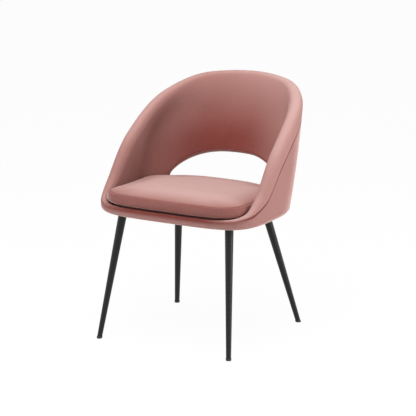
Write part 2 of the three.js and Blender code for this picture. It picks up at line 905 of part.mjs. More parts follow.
// A plate in the top of the seat board with a threaded barrel for each of a leg's bolts
function nutPlate(place) {
  const shoulder = boardTop - nut.flangeThickness;
  const sheet = solid(plateSlab(place, nut.flangeRadius, shoulder, boardTop));
  const low = shoulder - nut.barrelLength;
  const barrels = plateBolts(place).map((corner) =>
    roundCutter(corner, [
      [nut.barrelRadius, low],
      [nut.barrelRadius, boardTop],
    ]),
  );
  const joined = barrels.reduce((body, barrel) => body.add(barrel), sheet);
  return surface(without(joined, plateBolts(place).map(boltCutter)));
}

// Where a fastener's form is made, before it is placed
const origin = new THREE.Vector3();

function boltForm(headTop, end) {
  const section = [
    [0, headTop - bolt.headHeight],
    [bolt.headRadius, headTop - bolt.headHeight],
    [bolt.headRadius, headTop],
    [bolt.radius, headTop],
    [bolt.radius, end],
    [0, end],
  ];
  return turned(section, fastenerSides, origin);
}

function teeNutForm(top) {
  const bore = bolt.radius + fit.gap;
  const shoulder = top - nut.flangeThickness;
  const end = shoulder - nut.barrelLength;
  const section = [
    [bore, end],
    [nut.barrelRadius, end],
    [nut.barrelRadius, shoulder],
    [nut.flangeRadius, shoulder],
    [nut.flangeRadius, top],
    [bore, top],
    [bore, end],
  ];
  return turned(section, fastenerSides, origin);
}

function screwForm() {
  const low = boardBottom + fit.gap;
  const section = [
    [0, low],
    [screw.headRadius, low],
    [screw.radius, boardBottom + screw.headHeight],
    [screw.radius, boardBottom + screw.reach],
    [0, boardBottom + screw.reach],
  ];
  return turned(section, fastenerSides, origin);
}

// Materials

function finish(color, roughness, metalness = 0) {
  return new THREE.MeshStandardMaterial({ color, roughness, metalness });
}

const finishes = {
  velvet: finish(0xc79a92, 0.85),
  foam: finish(0xe9dfb6, 0.95),
  plywood: finish(0xc9a878, 0.7),
  moulding: finish(0x2b2b2b, 0.6),
  blackSteel: finish(0x23261f, 0.42, 0.7),
  zincSteel: finish(0xb9bcc0, 0.35, 0.9),
  blackPlastic: finish(0x191a19, 0.55),
  blackCloth: finish(0x1d1d1d, 0.95),
};

// Assembly

const chair = new THREE.Group();

function add(name, geometry, material, place = origin) {
  const mesh = new THREE.Mesh(geometry, material);
  mesh.name = name;
  mesh.position.set(place.x, place.y, 0);
  chair.add(mesh);
}

const coreCutters = [layerTunnel, ...screwPlaces.map(screwCutter)];
const hemCutters = legBoltPlaces.map(boltCutter);
const innerFoamRing = behindSplit(innerFoam()).subtract(layerTunnel);

add('seat_board', seatBoard(), finishes.plywood);
add('back_shell', surface(without(behindSplit(backShell()), coreCutters)), finishes.moulding);
add('outer_foam', surface(behindSplit(outerFoam()).subtract(layerTunnel)), finishes.foam);
sides.forEach(({ side, x }) => {
  const half = innerFoamRing.trimByPlane([x, 0, 0], fit.gap / 2);
  add(`inner_foam_${side}`, surface(half), finishes.foam);
});
add('lip_foam', surface(beforeSplit(lipFoam())), finishes.foam);
add('deck_foam', deckFoam(), finishes.foam);
add('outer_cover', cut(outerCover(), [layerTunnel, ...hemCutters]), finishes.velvet);
add('inner_cover', cut(innerCover(), [layerTunnel]), finishes.velvet);
add('opening_band', openingBand(), finishes.velvet);
add('dust_cover', dustCover(), finishes.blackCloth);
add('pad_board', padBoard(), finishes.plywood);
add('pad_foam', padFoam(), finishes.foam);
add('pad_top_panel', padTopPanel(), finishes.velvet);
add('pad_boxing', padBoxing(), finishes.velvet);
add('pad_under_cloth', padUnderCloth(), finishes.blackCloth);

const screwGeometry = screwForm();
screwPlaces.forEach((place, i) => {
  add(`shell_screw_${screwNames[i]}`, screwGeometry, finishes.zincSteel, place);
});

const padBoltGeometry = boltForm(padHeadTop, padBoardTop - bolt.endInset);
const teeNutGeometry = teeNutForm(padBoardTop);
padBoltPlaces.forEach((place, i) => {
  add(`pad_bolt_${padBoltNames[i]}`, padBoltGeometry, finishes.zincSteel, place);
  add(`pad_tee_nut_${padBoltNames[i]}`, teeNutGeometry, finishes.zincSteel, place);
});

const legBoltGeometry = boltForm(legHeadTop, boardTop - bolt.endInset);
legs.forEach((place) => {
  add(`leg_tube_${place.name}`, legTube(place), finishes.blackSteel);
  add(`foot_cap_${place.name}`, footCap(place), finishes.blackPlastic);
  add(`leg_plate_${place.name}`, legPlate(place), finishes.blackSteel);
  add(`leg_nut_plate_${place.name}`, nutPlate(place), finishes.zincSteel);
  plateBolts(place).forEach((corner, i) => {
    add(`leg_bolt_${place.name}_${i + 1}`, legBoltGeometry, finishes.blackSteel, corner);
  });
});

// The origin is on the floor, under the middle of the chair's box
const box = new THREE.Box3().setFromObject(chair);
chair.position.y = -(box.min.y + box.max.y) / 2;

const part = new THREE.Group();
part.add(chair);
part.updateMatrixWorld(true);

export default part;
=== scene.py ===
import math

import bpy
import numpy as np
from bpy.props import FloatProperty, FloatVectorProperty, PointerProperty
from bpy.types import Operator, Panel, PropertyGroup
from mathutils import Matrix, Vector
from mathutils.bvhtree import BVHTree


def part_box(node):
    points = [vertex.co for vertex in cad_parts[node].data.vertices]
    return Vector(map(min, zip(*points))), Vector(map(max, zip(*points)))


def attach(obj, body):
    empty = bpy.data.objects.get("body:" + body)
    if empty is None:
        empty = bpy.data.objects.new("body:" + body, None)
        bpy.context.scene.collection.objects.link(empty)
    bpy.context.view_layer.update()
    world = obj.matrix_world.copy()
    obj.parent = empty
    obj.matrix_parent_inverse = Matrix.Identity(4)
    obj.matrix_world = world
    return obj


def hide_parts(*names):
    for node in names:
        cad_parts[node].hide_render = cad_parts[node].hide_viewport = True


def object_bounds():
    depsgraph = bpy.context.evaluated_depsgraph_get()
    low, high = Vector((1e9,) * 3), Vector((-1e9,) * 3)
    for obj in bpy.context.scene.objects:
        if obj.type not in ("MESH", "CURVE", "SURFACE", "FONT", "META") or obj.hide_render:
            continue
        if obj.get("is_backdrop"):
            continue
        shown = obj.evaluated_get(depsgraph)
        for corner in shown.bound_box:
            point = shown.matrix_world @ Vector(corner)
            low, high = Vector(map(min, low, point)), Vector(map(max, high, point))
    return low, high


bl_info = {
    "name": "Scallop Back Chair",
    "version": (1, 0, 0),
    "blender": (4, 5, 0),
    "location": "View3D > Sidebar > Chair",
    "description": "Dresses an upholstered dining chair with a half-moon opening in its back",
    "category": "Add Mesh",
}

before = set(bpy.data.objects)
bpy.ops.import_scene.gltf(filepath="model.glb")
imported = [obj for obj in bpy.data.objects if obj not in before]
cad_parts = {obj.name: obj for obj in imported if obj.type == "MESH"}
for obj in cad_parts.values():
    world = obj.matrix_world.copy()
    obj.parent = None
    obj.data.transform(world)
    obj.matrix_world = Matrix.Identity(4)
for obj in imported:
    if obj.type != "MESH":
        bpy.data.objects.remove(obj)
cad_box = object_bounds()

MM = 0.001
DEGREE = math.pi / 180

# Sizes of the finished shell, in metres, as the frame has them

GAP = 0.3 * MM
UNDERSIDE = 400.6 * MM
LOW_RISE, TOP_RISE = 29.4 * MM, 379.4 * MM
HALF_WIDTHS = (288.2 * MM, 285.2 * MM, 255.3 * MM)
BACK_REACHES = (214.4 * MM, 278.3 * MM, 391.1 * MM)
WIDEST_LOW, WIDEST_TOP = -23.4 * MM, 84.1 * MM
FRONT_REACH = 233.6 * MM
BOTTOM_RADIUS = 19.9 * MM
BACK_THICKNESS = 30 * MM
BACK_ROUNDNESS, FRONT_ROUNDNESS = 2.13, 4.12

RIM_THICKNESS, LIP_THICKNESS = 44.6 * MM, 18 * MM
RIM_FADE = 110 * MM
RIM_TURN_SHARES = (0, 0.178, 0.344, 0.511, 0.622, 0.7, 0.76, 0.83, 1)
RIM_RISES = tuple(rise * MM for rise in (350.3, 345.2, 307.6, 201.6, 72.2, 33, 25.5, 22.4, 21.8))
SEAM_TURN_SHARES = (0, 0.49, 0.59, 0.66, 0.73, 0.83, 1)
SEAM_RUNS = tuple(run * MM for run in (-26, -33, -14, 1, 4, 4, 4))

OPENING_HALF_WIDTH, OPENING_WIDEST_RISE = 212.1 * MM, 54.4 * MM
ARCH_HEIGHT, SILL_HEIGHT = 78.9 * MM, 16.4 * MM
ARCH_FLATNESS, ARCH_FULLNESS, SILL_FLATNESS = 2.75, 1.37, 3.4

# Turns between which the rim thins into the lip, the back wall thickens into the arms, and the
# pad's edge comes out over the lip

LIP_TAPER = (100 * DEGREE, 146 * DEGREE)
ARM_TAPER = (58 * DEGREE, 85 * DEGREE)
OVERHANG = (122 * DEGREE, 150 * DEGREE)

HEM_INSET, DUST_INSET = 36 * MM, 22 * MM
BOTTOM_LEVEL = UNDERSIDE + BOTTOM_RADIUS
DECK_BASE = UNDERSIDE + 21.4 * MM
FLANGE_BOTTOM = UNDERSIDE + 14.1 * MM
FLANGE_INSET = 60.1 * MM
PAD_BASE = UNDERSIDE + 37.2 * MM
PAD_SEAM = PAD_BASE + 30 * MM
SHOULDER_RISE, SHOULDER_WIDTH = 17 * MM, 105 * MM
CROWN_RISE = 1.5 * MM
BACK_THINNING = 0.24
PAD_MIDDLE_Y = (BACK_REACHES[0] - FRONT_REACH) / 2

# Where each leg stands and where it meets its plate, and the leg's section

LEG_TOP = UNDERSIDE - 4.7 * MM
PLATE_BOTTOM, PLATE_TOP = UNDERSIDE - 4.4 * MM, UNDERSIDE - 1.4 * MM
DUST_BOTTOM, DUST_TOP = UNDERSIDE - 1.1 * MM, UNDERSIDE - 0.3 * MM
LEG_PLACES = {
    "front": ((234.7 * MM, -236.3 * MM), (191.6 * MM, -157.2 * MM)),
    "back": ((228.3 * MM, 236.3 * MM), (156.9 * MM, 129.7 * MM)),
}
FOOT_RADIUS, LEG_RADIUS = 7.8 * MM, 13.5 * MM
LEG_WALL = 1.6 * MM
CAP_HEIGHT = 7.5 * MM
LEG_SIDES = 48
PLATE_CORNER, PLATE_HOLE, PLATE_EDGE = 11.5 * MM, 3.3 * MM, 0.5 * MM
STAPLE_INSET, STAPLE_CLEARANCE = 5 * MM, 45 * MM
BOLT_CIRCLE = 24 * MM
BOLT_TURNS = (80 * DEGREE, 180 * DEGREE, -80 * DEGREE)


def frame_shift():
    """The frame's origin is under the middle of the chair, and the sizes above are measured from
    midway between the front and the back feet."""
    boxes = [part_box("foot_cap_front_left"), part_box("foot_cap_back_left")]
    return sum(low[1] + high[1] for low, high in boxes) / 4


SHIFT = frame_shift()
IN_FRAME = np.array([0, SHIFT, 0])


def linear(text):
    """An sRGB hex colour as the linear values that Blender works in."""
    parts = [int(text[i:i + 2], 16) / 255 for i in (1, 3, 5)]
    return [v / 12.92 if v <= 0.04045 else ((v + 0.055) / 1.055) ** 2.4 for v in parts] + [1.0]


# What a user would change


def colour_setting(name, description, colour):
    return FloatVectorProperty(
        name=name, description=description, subtype="COLOR", size=4, min=0, max=1,
        default=linear(colour))


def length_setting(name, description, default, low, high):
    """A length, given here in millimetres."""
    return FloatProperty(
        name=name, description=description, unit="LENGTH",
        default=default * MM, min=low * MM, max=high * MM)


def number_setting(name, description, default, high, kind="NONE"):
    return FloatProperty(
        name=name, description=description, subtype=kind, default=default, min=0, max=high)


class VelvetSettings(PropertyGroup):
    """The shell's covers and their seams."""
    colour: colour_setting(
        "Velvet", "Colour of the standing pile, looked at along its length", "#743933")
    brushed: colour_setting(
        # The lit pile colour is painted light: the pile blends into it where the lit pile share is
        # high
        "Brushed velvet", "Colour of the pile that hands have brushed open", "#8A534A")
    # The tips colour is a painted sheen on glancing faces and a painted highlight on what looks up
    tips: colour_setting(
        "Pile tips", "Colour of the tips of the pile, seen at a glancing angle", "#D7BAB6")
    bloom: colour_setting(
        "Bloom", "Colour of the light that the tips of the pile scatter", "#FBF1EF")
    thickness: length_setting("Cloth", "Thickness of the velvet", 1.2, 0.5, 3)
    edge_roll: length_setting("Edge roll", "Radius of the cloth's turn into a seam", 1.8, 0.5, 4)
    opening_roll: length_setting("Opening roll", "Radius of the turn into the opening", 3, 1, 6)
    ripple: length_setting("Ripple", "Height of the soft unevenness of the padding", 0.2, 0, 2)
    pucker: length_setting("Pucker", "Height of the puckers beside a seam", 0.22, 0, 1)


class PadSettings(PropertyGroup):
    """The seat pad and its stitches."""
    pressure: number_setting("Pressure", "How hard the pad's filling presses on its cover", 4, 20)
    swell: length_setting("Most swell", "The furthest that the filling moves the cover", 5, 0, 20)
    fill: number_setting("Fill", "How full the pad is, from slack to tight", 0.85, 1, "FACTOR")
    stitch_length: length_setting("Stitch", "Length of a topstitch", 3.4, 1, 10)
    stitch_pitch: length_setting(
        "Stitch pitch", "Distance from one topstitch to the next", 4.2, 1.5, 15)


class FrameSettings(PropertyGroup):
    """The legs and what shows under the seat."""
    steel: colour_setting("Powder coat", "Colour of the legs and their plates", "#0B0D0A")
    weld: length_setting("Weld", "Radius of the weld between a leg and its plate", 2.2, 0.5, 4)
    staple_pitch: length_setting(
        "Staple pitch", "Distance from one staple to the next", 38, 15, 120)
    staple_width: length_setting("Staple", "Width of a staple's crown", 9, 5, 14)


class StudioSettings(PropertyGroup):
    """The camera's lens and the lamps."""
    lens: FloatProperty(
        name="Lens", description="Focal length of the camera", unit="CAMERA",
        default=199.1, min=20, max=400)
    key_power: number_setting(
        "Overhead lamp", "Power of the soft lamp over the chair", 65, 1000, "POWER")
    side_power: number_setting(
        "Side lamp", "Power of the soft lamp on the sitter's left", 56, 1000, "POWER")
    fill_power: number_setting(
        "Fill lamps", "Power of the lamp at the front left; the right one has a share of it",
        27, 1000, "POWER")
    ambient: number_setting("Ambient", "Strength of the even light from all round", 0.36, 2)


# Curves and blends


def mix(start, end, share):
    return start + (end - start) * share


def ease(value, start, end):
    share = np.clip((value - start) / (end - start), 0, 1)
    return share * share * (3 - 2 * share)


def smooth_curve(stations, heights):
    """A smooth curve through the heights that never overshoots them, level at both ends."""
    stations, heights = np.array(stations, float), np.array(heights, float)
    spans = np.diff(stations)
    steps = np.diff(heights) / spans
    slopes = np.zeros(len(stations))
    for i in range(1, len(stations) - 1):
        before, after = steps[i - 1], steps[i]
        if before * after > 0:
            slopes[i] = 2 * before * after / (before + after)

    def curve(value):
        i = np.clip(np.searchsorted(stations, value) - 1, 0, len(spans) - 1)
        t = (value - stations[i]) / spans[i]
        start = heights[i] * (1 + 2 * t) + slopes[i] * spans[i] * t
        end = heights[i + 1] * (3 - 2 * t) - slopes[i + 1] * spans[i] * (1 - t)
        return start * (1 - t) ** 2 + end * t * t

    return curve


rim_rise_at = smooth_curve(RIM_TURN_SHARES, RIM_RISES)
seam_run_at = smooth_curve(SEAM_TURN_SHARES, SEAM_RUNS)


def unit(ways):
    return ways / np.linalg.norm(ways, axis=-1, keepdims=True)


def scaled(ways, lengths):
    return ways * np.asarray(lengths)[..., None]


def at_height(points, z):
    moved = np.array(points)
    moved[..., 2] = z
    return moved


def path_lengths(points):
    """The length of a path up to each of its points."""
    steps = np.linalg.norm(np.diff(points, axis=0), axis=1)
    return np.concatenate([[0], np.cumsum(steps)])


# The shell's plan and its finished skin: turns run from the middle of the back, 0, to the middle
# of the front, half a turn, and depth is measured inwards from the outer skin


def rim_height(turn):
    return UNDERSIDE + rim_rise_at(np.abs(turn) / math.pi)


def seam_run(turn):
    return seam_run_at(np.abs(turn) / math.pi)


def rim_thickness(turn):
    return mix(RIM_THICKNESS, LIP_THICKNESS, ease(np.abs(turn), *LIP_TAPER))


def wall_thickness(turn, z):
    low = mix(BACK_THICKNESS, rim_thickness(turn), ease(np.abs(turn), *ARM_TAPER))
    return mix(rim_thickness(turn), low, ease(rim_height(turn) - z, 0, RIM_FADE))


def through_three(sizes, share):
    low, middle, top = sizes
    ends = low * (1 - share) * (1 - 2 * share) + top * share * (2 * share - 1)
    return ends + middle * 4 * share * (1 - share)


def plan_point(turn, z):
    turn, z = np.broadcast_arrays(np.asarray(turn, float), np.asarray(z, float))
    share = (z - UNDERSIDE - LOW_RISE) / (TOP_RISE - LOW_RISE)
    widest = mix(WIDEST_LOW, WIDEST_TOP, share)
    sine, cosine = np.sin(turn), np.cos(turn)
    roundness = mix(FRONT_ROUNDNESS, BACK_ROUNDNESS, (1 + cosine) / 2)
    radius = (np.abs(sine) ** roundness + np.abs(cosine) ** roundness) ** (-1 / roundness)
    reach = np.where(cosine > 0, through_three(BACK_REACHES, share) - widest, widest + FRONT_REACH)
    x = through_three(HALF_WIDTHS, share) * radius * sine
    return np.stack([x, widest + reach * radius * cosine, z], axis=-1)


# The small turn over which directions are measured, and how often two searches are repeated

NUDGE = 0.01 * DEGREE
LEVEL_ROUNDS, TURN_HALVINGS = 4, 40


def plan_normal(turn, z):
    along = plan_point(turn - NUDGE, z) - plan_point(turn + NUDGE, z)
    return unit(np.stack([along[..., 1], -along[..., 0], 0 * along[..., 0]], axis=-1))


def wall_normal(turn, z):
    step = BOTTOM_RADIUS * NUDGE
    level = np.maximum(z, BOTTOM_LEVEL)
    across = plan_point(turn + NUDGE, level) - plan_point(turn - NUDGE, level)
    upward = plan_point(turn, level + step) - plan_point(turn, level - step)
    return unit(np.cross(upward, across))


def wall_point(turn, z, depth):
    return plan_point(turn, z) - scaled(wall_normal(turn, z), depth)


def ledge_point(turn, z, inset):
    return plan_point(turn, z) - scaled(plan_normal(turn, z), inset)


def bottom_edge_point(turn, lean, depth):
    radius = BOTTOM_RADIUS - depth
    z = UNDERSIDE + BOTTOM_RADIUS - radius * np.cos(lean)
    return ledge_point(turn, z, BOTTOM_RADIUS - radius * np.sin(lean))


def rim_point(turn, sweep, depth):
    def middle(at):
        return wall_point(at, rim_height(at), rim_thickness(at) / 2)

    outward = wall_normal(turn, rim_height(turn))
    upward = unit(np.cross(unit(middle(turn + NUDGE) - middle(turn - NUDGE)), outward))
    radius = rim_thickness(turn) / 2 - depth
    side = scaled(outward, radius * np.cos(sweep)) + scaled(upward, radius * np.sin(sweep))
    return middle(turn) + side


def skin_point(turn, run, depth):
    """Runs are measured along the section from the rim's outer edge, negative down the outside."""
    sweep = np.clip(run / (rim_thickness(turn) / 2), 0, math.pi)
    down = wall_point(turn, rim_height(turn) + np.minimum(run, 0), depth)
    return np.where((run <= 0)[..., None], down, rim_point(turn, sweep, depth))


def level_for(turn, z, depth_at):
    """The level at which a point that deep in the leaning wall lies at height z."""
    level = np.broadcast_to(np.asarray(z, float), np.shape(turn)).copy()
    for _ in range(LEVEL_ROUNDS):
        level = z + wall_normal(turn, level)[..., 2] * depth_at(level)
    return level


def wrapped(turn):
    return (turn + math.pi) % (2 * math.pi) - math.pi


def turn_for(x, z):
    """The turn, in the back half, at which the plan at height z has that x."""
    low, high = np.full(np.shape(x), -math.pi / 2), np.full(np.shape(x), math.pi / 2)
    for _ in range(TURN_HALVINGS):
        middle = (low + high) / 2
        short = plan_point(middle, z)[..., 0] < x
        low, high = np.where(short, middle, low), np.where(short, high, middle)
    return (low + high) / 2


# The half-moon opening's outline on the outer skin


def outline_chart(angle):
    """Turn and height of the outline's points, from its right tip over the arch."""
    cosine, sine = np.cos(angle), np.sin(angle)
    upper = sine >= 0
    flatness = np.where(upper, ARCH_FLATNESS, SILL_FLATNESS)
    fullness = np.where(upper, ARCH_FULLNESS, SILL_FLATNESS)
    height = np.where(upper, ARCH_HEIGHT, -SILL_HEIGHT)
    x = OPENING_HALF_WIDTH * np.sign(cosine) * np.abs(cosine) ** (2 / flatness)
    z = UNDERSIDE + OPENING_WIDEST_RISE + height * np.abs(sine) ** (2 / fullness)
    return turn_for(x, z), z


class Outline:
    """The opening's outline by its length, measured from its tip on the sitter's left."""

    def __init__(self):
        self.angles = np.linspace(0, 2 * math.pi, 6001)
        self.lengths = path_lengths(plan_point(*outline_chart(self.angles)))
        self.whole = self.lengths[-1]
        self.arch = np.interp(math.pi, self.angles, self.lengths)

    def chart(self, along):
        return outline_chart(np.interp(along % self.whole, self.lengths, self.angles))

    def aside(self, along):
        """The direction away from the opening in the wall's own surface."""
        reach = 0.8 * MM
        turn, z = self.chart(along)
        ahead, behind = (plan_point(*self.chart(along + way)) for way in (reach, -reach))
        return unit(np.cross(wall_normal(turn, z), ahead - behind))

    def offset(self, along, distance):
        turn, z = self.chart(along)
        moved = plan_point(turn, z) + scaled(self.aside(along), np.full(len(along), distance))
        return turn_for(moved[:, 0], moved[:, 2]), moved[:, 2]

    def tunnel_point(self, along, distance, depth):
        turn, z = self.chart(along)
        depth = np.broadcast_to(depth, np.shape(turn))
        shifted = scaled(self.aside(along), np.full(len(along), distance))
        return wall_point(turn, z, depth) + shifted


outline = Outline()


# Meshes from rows of points


def add_object(name, data):
    thing = bpy.data.objects.new(name, data)
    bpy.context.scene.collection.objects.link(thing)
    return thing


def new_piece(name, points, faces, material, body="root"):
    """A smooth mesh piece that rides on a body, with only the points that its faces use; they
    are moved into the frame."""
    used, order = np.unique(np.concatenate([np.ravel(face) for face in faces]), return_inverse=True)
    renumbered, start = [], 0
    for face in faces:
        renumbered.append(order[start:start + len(face)].tolist())
        start += len(face)
    mesh = bpy.data.meshes.new(name)
    mesh.from_pydata((np.asarray(points)[used] + IN_FRAME).tolist(), [], renumbered)
    mesh.validate()
    mesh.shade_smooth()
    mesh.materials.append(material)
    piece = add_object(name, mesh)
    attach(piece, body)
    return piece


def quads(here, there, closed=True):
    """Faces between two rows of point numbers."""
    here, there = np.asarray(here), np.asarray(there)
    if closed:
        here, there = np.append(here, here[0]), np.append(there, there[0])
    return np.stack([here[:-1], here[1:], there[1:], there[:-1]], axis=1).tolist()


def ring_faces(rings, looped):
    """Faces of like rings of points, looped back to the first ring or with both ends closed."""
    number = np.arange(len(rings) * len(rings[0])).reshape(len(rings), -1)
    faces = []
    for here, there in zip(number, number[1:]):
        faces += quads(here, there)
    if looped:
        return faces + quads(number[-1], number[0])
    return faces + [number[0].tolist()[::-1], number[-1].tolist()]


def closed_piece(name, rings, material, looped=False):
    piece = new_piece(name, np.concatenate(rings), ring_faces(rings, looped), material)
    recalculate_outwards(piece)
    return piece


def vectors(mesh, kind="co"):
    """The places of a mesh's points, or another vector of theirs."""
    values = np.empty(len(mesh.vertices) * 3)
    mesh.vertices.foreach_get(kind, values)
    return values.reshape(-1, 3)


def move_points(mesh, places):
    mesh.vertices.foreach_set("co", places.ravel())
    mesh.update()


def turned_outwards(points, faces, middle, outwards):
    """A sheet's faces, all reversed if most of them look the wrong way from its middle."""
    a, b, c = (np.asarray(points)[[face[i] for face in faces]] for i in range(3))
    looking = np.sum(np.cross(b - a, c - a) * (a - middle))
    if (looking > 0) == outwards:
        return faces
    return [face[::-1] for face in faces]


def recalculate_outwards(piece):
    """Turns a closed mesh's faces outwards by the sign of its volume."""
    mesh = piece.data
    mesh.calc_loop_triangles()
    corners = np.array([triangle.vertices for triangle in mesh.loop_triangles])
    a, b, c = (vectors(mesh)[corners[:, i]] for i in range(3))
    if np.sum(a * np.cross(b, c)) < 0:
        mesh.flip_normals()


def mark_pile(piece, brushed, pressed):
    """Stores two things for the velvet at each point. Its lit pile share is painted light, from 0
    in painted shade to 1 where it is lit, and up to 2 on what looks up, a painted highlight of
    light from above. It is pressed, and shows less of the painted sheen of its tips, where it is
    leaned on, where it gets painted shade, and most of all in a seam."""
    upwards = vectors(piece.data, "normal")[:, 2]
    # Painted highlight: what looks up gets more of the lit pile share, as if lit from above
    brushed = brushed + ease(upwards, 0.45, 1) * ease(brushed, 0.4, 1)
    for name, values in (("brushed", brushed), ("pressed", pressed)):
        layer = piece.data.attributes.new(name, "FLOAT", "POINT")
        layer.data.foreach_set("value", np.broadcast_to(values, len(upwards)).astype(np.float32))


def settle(piece):
    """Turns the piece's modifiers into its mesh."""
    graph = bpy.context.evaluated_depsgraph_get()
    mesh = bpy.data.meshes.new_from_object(piece.evaluated_get(graph))
    old = piece.data
    piece.modifiers.clear()
    piece.data = mesh
    mesh.name = piece.name
    bpy.data.meshes.remove(old)


def reshape(piece, kind, **settings):
    """Puts one modifier on the piece and turns it into its mesh."""
    modifier = piece.modifiers.new(kind.title(), kind)
    for name, value in settings.items():
        setattr(modifier, name, value)
    settle(piece)


# Softness of the upholstery

RIPPLE_COUNT = 14
ripple_seeds = np.random.default_rng(7)
ripple_ways = unit(ripple_seeds.normal(size=(RIPPLE_COUNT, 3)))
ripple_lengths = ripple_seeds.uniform(60 * MM, 190 * MM, RIPPLE_COUNT)
ripple_starts = ripple_seeds.uniform(0, 2 * math.pi, RIPPLE_COUNT)


def ripple(points, height):
    """Soft unevenness of foam under stretched cloth, in every direction and about that high."""
    phases = points @ (ripple_ways / ripple_lengths[:, None]).T * 2 * math.pi + ripple_starts
    return np.sin(phases).sum(axis=-1) / math.sqrt(RIPPLE_COUNT) * height


PUCKER_PITCH = 13 * MM
PUCKER_REACH = 11 * MM


def pucker(along, away, height):
    """Small puckers that run off a seam and die out; a height may fade along the seam."""
    wander = 1.9 * np.sin(2 * math.pi * along / (PUCKER_PITCH * 5.3))
    wave = np.sin(2 * math.pi * along / PUCKER_PITCH + wander)
    return height * wave * np.exp(-np.abs(away) / PUCKER_REACH)


def quarter_turn(away, radius):
    """Depth of a cloth edge that turns in with that radius, by the distance from its end."""
    share = np.clip(1 - away / radius, 0, 1)
    return radius * (1 - np.sqrt(1 - share ** 2))


# Stations round the plan: those across the opening come first, then the rest of the way round

BLOCK_TURN = 74 * DEGREE
BLOCK_STEPS = 132
REST_STEPS = 176
WALL_STEPS = 34
SEAM_STEPS = tuple(step * MM for step in (6, 4.2, 3, 2, 1.3, 0.8, 0.4, 0.15, 0))


def plan_stations():
    fine = np.linspace(BLOCK_TURN, 2 * math.pi - BLOCK_TURN, 4001)
    lengths = path_lengths(plan_point(wrapped(fine), BOTTOM_LEVEL))
    rest = np.interp(np.linspace(0, lengths[-1], REST_STEPS + 1)[1:-1], lengths, fine)
    block = np.linspace(-BLOCK_TURN, BLOCK_TURN, BLOCK_STEPS + 1)
    return np.concatenate([block, wrapped(rest)])


STATIONS = plan_stations()
STATION_LENGTHS = path_lengths(plan_point(np.append(STATIONS, STATIONS[0]), BOTTOM_LEVEL))[:-1]

# How far the block's edge is led past the opening's tips, the opening's seam and the rings round
# it, and how far forward the seam stops darkening the pile as it turns into the lip

TIP_LOW, TIP_HIGH = 9 * MM, 22 * MM
BAND_REACH = 4.4 * MM
BLEND_RINGS = 24
SEAM_ROWS, OPENING_SEAM_RINGS = 8, 9
SEAM_TUCK = 1.5 * MM
LIP_FRONTS = (165 * MM, 215 * MM)


def block_loop(low_row, high_row):
    """Grid places round the edge of the block of rows and stations that holds the opening."""
    up = [(row, BLOCK_STEPS) for row in range(low_row, high_row)]
    leftwards = [(high_row, station) for station in range(BLOCK_STEPS, 0, -1)]
    down = [(row, 0) for row in range(high_row, low_row, -1)]
    rightwards = [(low_row, station) for station in range(BLOCK_STEPS)]
    return np.array(up + leftwards + down + rightwards)


def loop_lengths(side):
    """Where along the opening's outline each place of the block's edge is led to."""
    across = BLOCK_STEPS
    arch_end = outline.arch - TIP_HIGH
    sill_start = outline.arch + TIP_LOW
    parts = [
        np.linspace(-TIP_LOW, TIP_HIGH, side, endpoint=False),
        np.linspace(TIP_HIGH, arch_end, across, endpoint=False),
        np.linspace(arch_end, sill_start, side, endpoint=False),
        np.linspace(sill_start, outline.whole - TIP_LOW, across, endpoint=False),
    ]
    return np.concatenate(parts)


def opening_rings(roll):
    """Distance from the outline and depth of the rings by which a cover ends beside the opening."""
    turns = np.linspace(0, math.pi / 2, 6)
    rolled = [
        (BAND_REACH + roll * (1 - math.cos(turn)), roll * (1 - math.sin(turn))) for turn in turns]
    flat = [(BAND_REACH + distance * MM, 0) for distance in (1.9, 3, 4.8, 7.5)]
    return [(BAND_REACH, roll + 1.2 * MM), (BAND_REACH, roll + 0.6 * MM)] + rolled + flat


def cover_sheet(
        name, material, grid, low_row, high_row, chart_z, surface, pile, settings, outwards):
    """A cover: rows of points right round the chair, with the opening let into a block of them.
    chart_z has the heights of the block's rows, surface makes a point of turn, z and depth, and
    pile tells of each place its lit pile share, which is painted light, and how far it is pressed.
    The last rows are in the seam."""
    rows, count = grid.shape[:2]
    points = [grid.reshape(-1, 3)]
    number = np.arange(rows * count).reshape(rows, count)
    faces = []
    for row in range(rows - 1):
        strip = quads(number[row], number[row + 1])
        if low_row <= row < high_row:
            strip = strip[BLOCK_STEPS:]
        faces += strip
    loop = block_loop(low_row, high_row)
    along = loop_lengths(high_row - low_row)
    edge_turn = STATIONS[loop[:, 1]]
    edge_z = chart_z[loop[:, 0] - low_row, loop[:, 1]]
    rings = []
    for distance, depth in opening_rings(0.6 * settings.edge_roll):
        turn, z = outline.offset(along, distance)
        rings.append(surface(turn, z, depth))
    for share in (np.arange(1, BLEND_RINGS) / BLEND_RINGS) ** 1.15:
        rings.append(surface(mix(turn, edge_turn, share), mix(z, edge_z, share), 0))
    first = rows * count
    numbers = [first + i * len(along) + np.arange(len(along)) for i in range(len(rings))]
    numbers.append(number[loop[:, 0], loop[:, 1]])
    points += rings
    for here, there in zip(numbers, numbers[1:]):
        faces += [face[::-1] for face in quads(here, there)]
    points = np.concatenate(points)
    middle = np.array([0, 0, points[:, 2].mean()])
    piece = new_piece(name, points, turned_outwards(points, faces, middle, outwards), material)
    places = vectors(piece.data) - IN_FRAME
    in_seam = np.zeros(len(points))
    in_seam[(rows - SEAM_ROWS) * count:first + OPENING_SEAM_RINGS * len(along)] = 1
    in_seam = in_seam[np.unique(faces)] * mix(0.8, 0.1, ease(-places[:, 1], *LIP_FRONTS))
    brushed, pressed = pile(places)
    mark_pile(piece, brushed * (1 - in_seam), np.maximum(pressed, in_seam))
    reshape(piece, "SOLIDIFY", thickness=settings.thickness, offset=-1)
    return piece


def rim_drop(places):
    """How far points lie below the rim above them, and their bearing from the shell's middle."""
    fine = np.linspace(-math.pi, math.pi, 1441)
    rim = plan_point(fine, rim_height(fine))
    middle = np.array([0, (WIDEST_LOW + WIDEST_TOP) / 2])
    bearing = np.arctan2(rim[:, 0] - middle[0], rim[:, 1] - middle[1])
    place_bearing = np.arctan2(places[:, 0] - middle[0], places[:, 1] - middle[1])
    return np.interp(place_bearing, bearing, rim[:, 2]) - places[:, 2], place_bearing


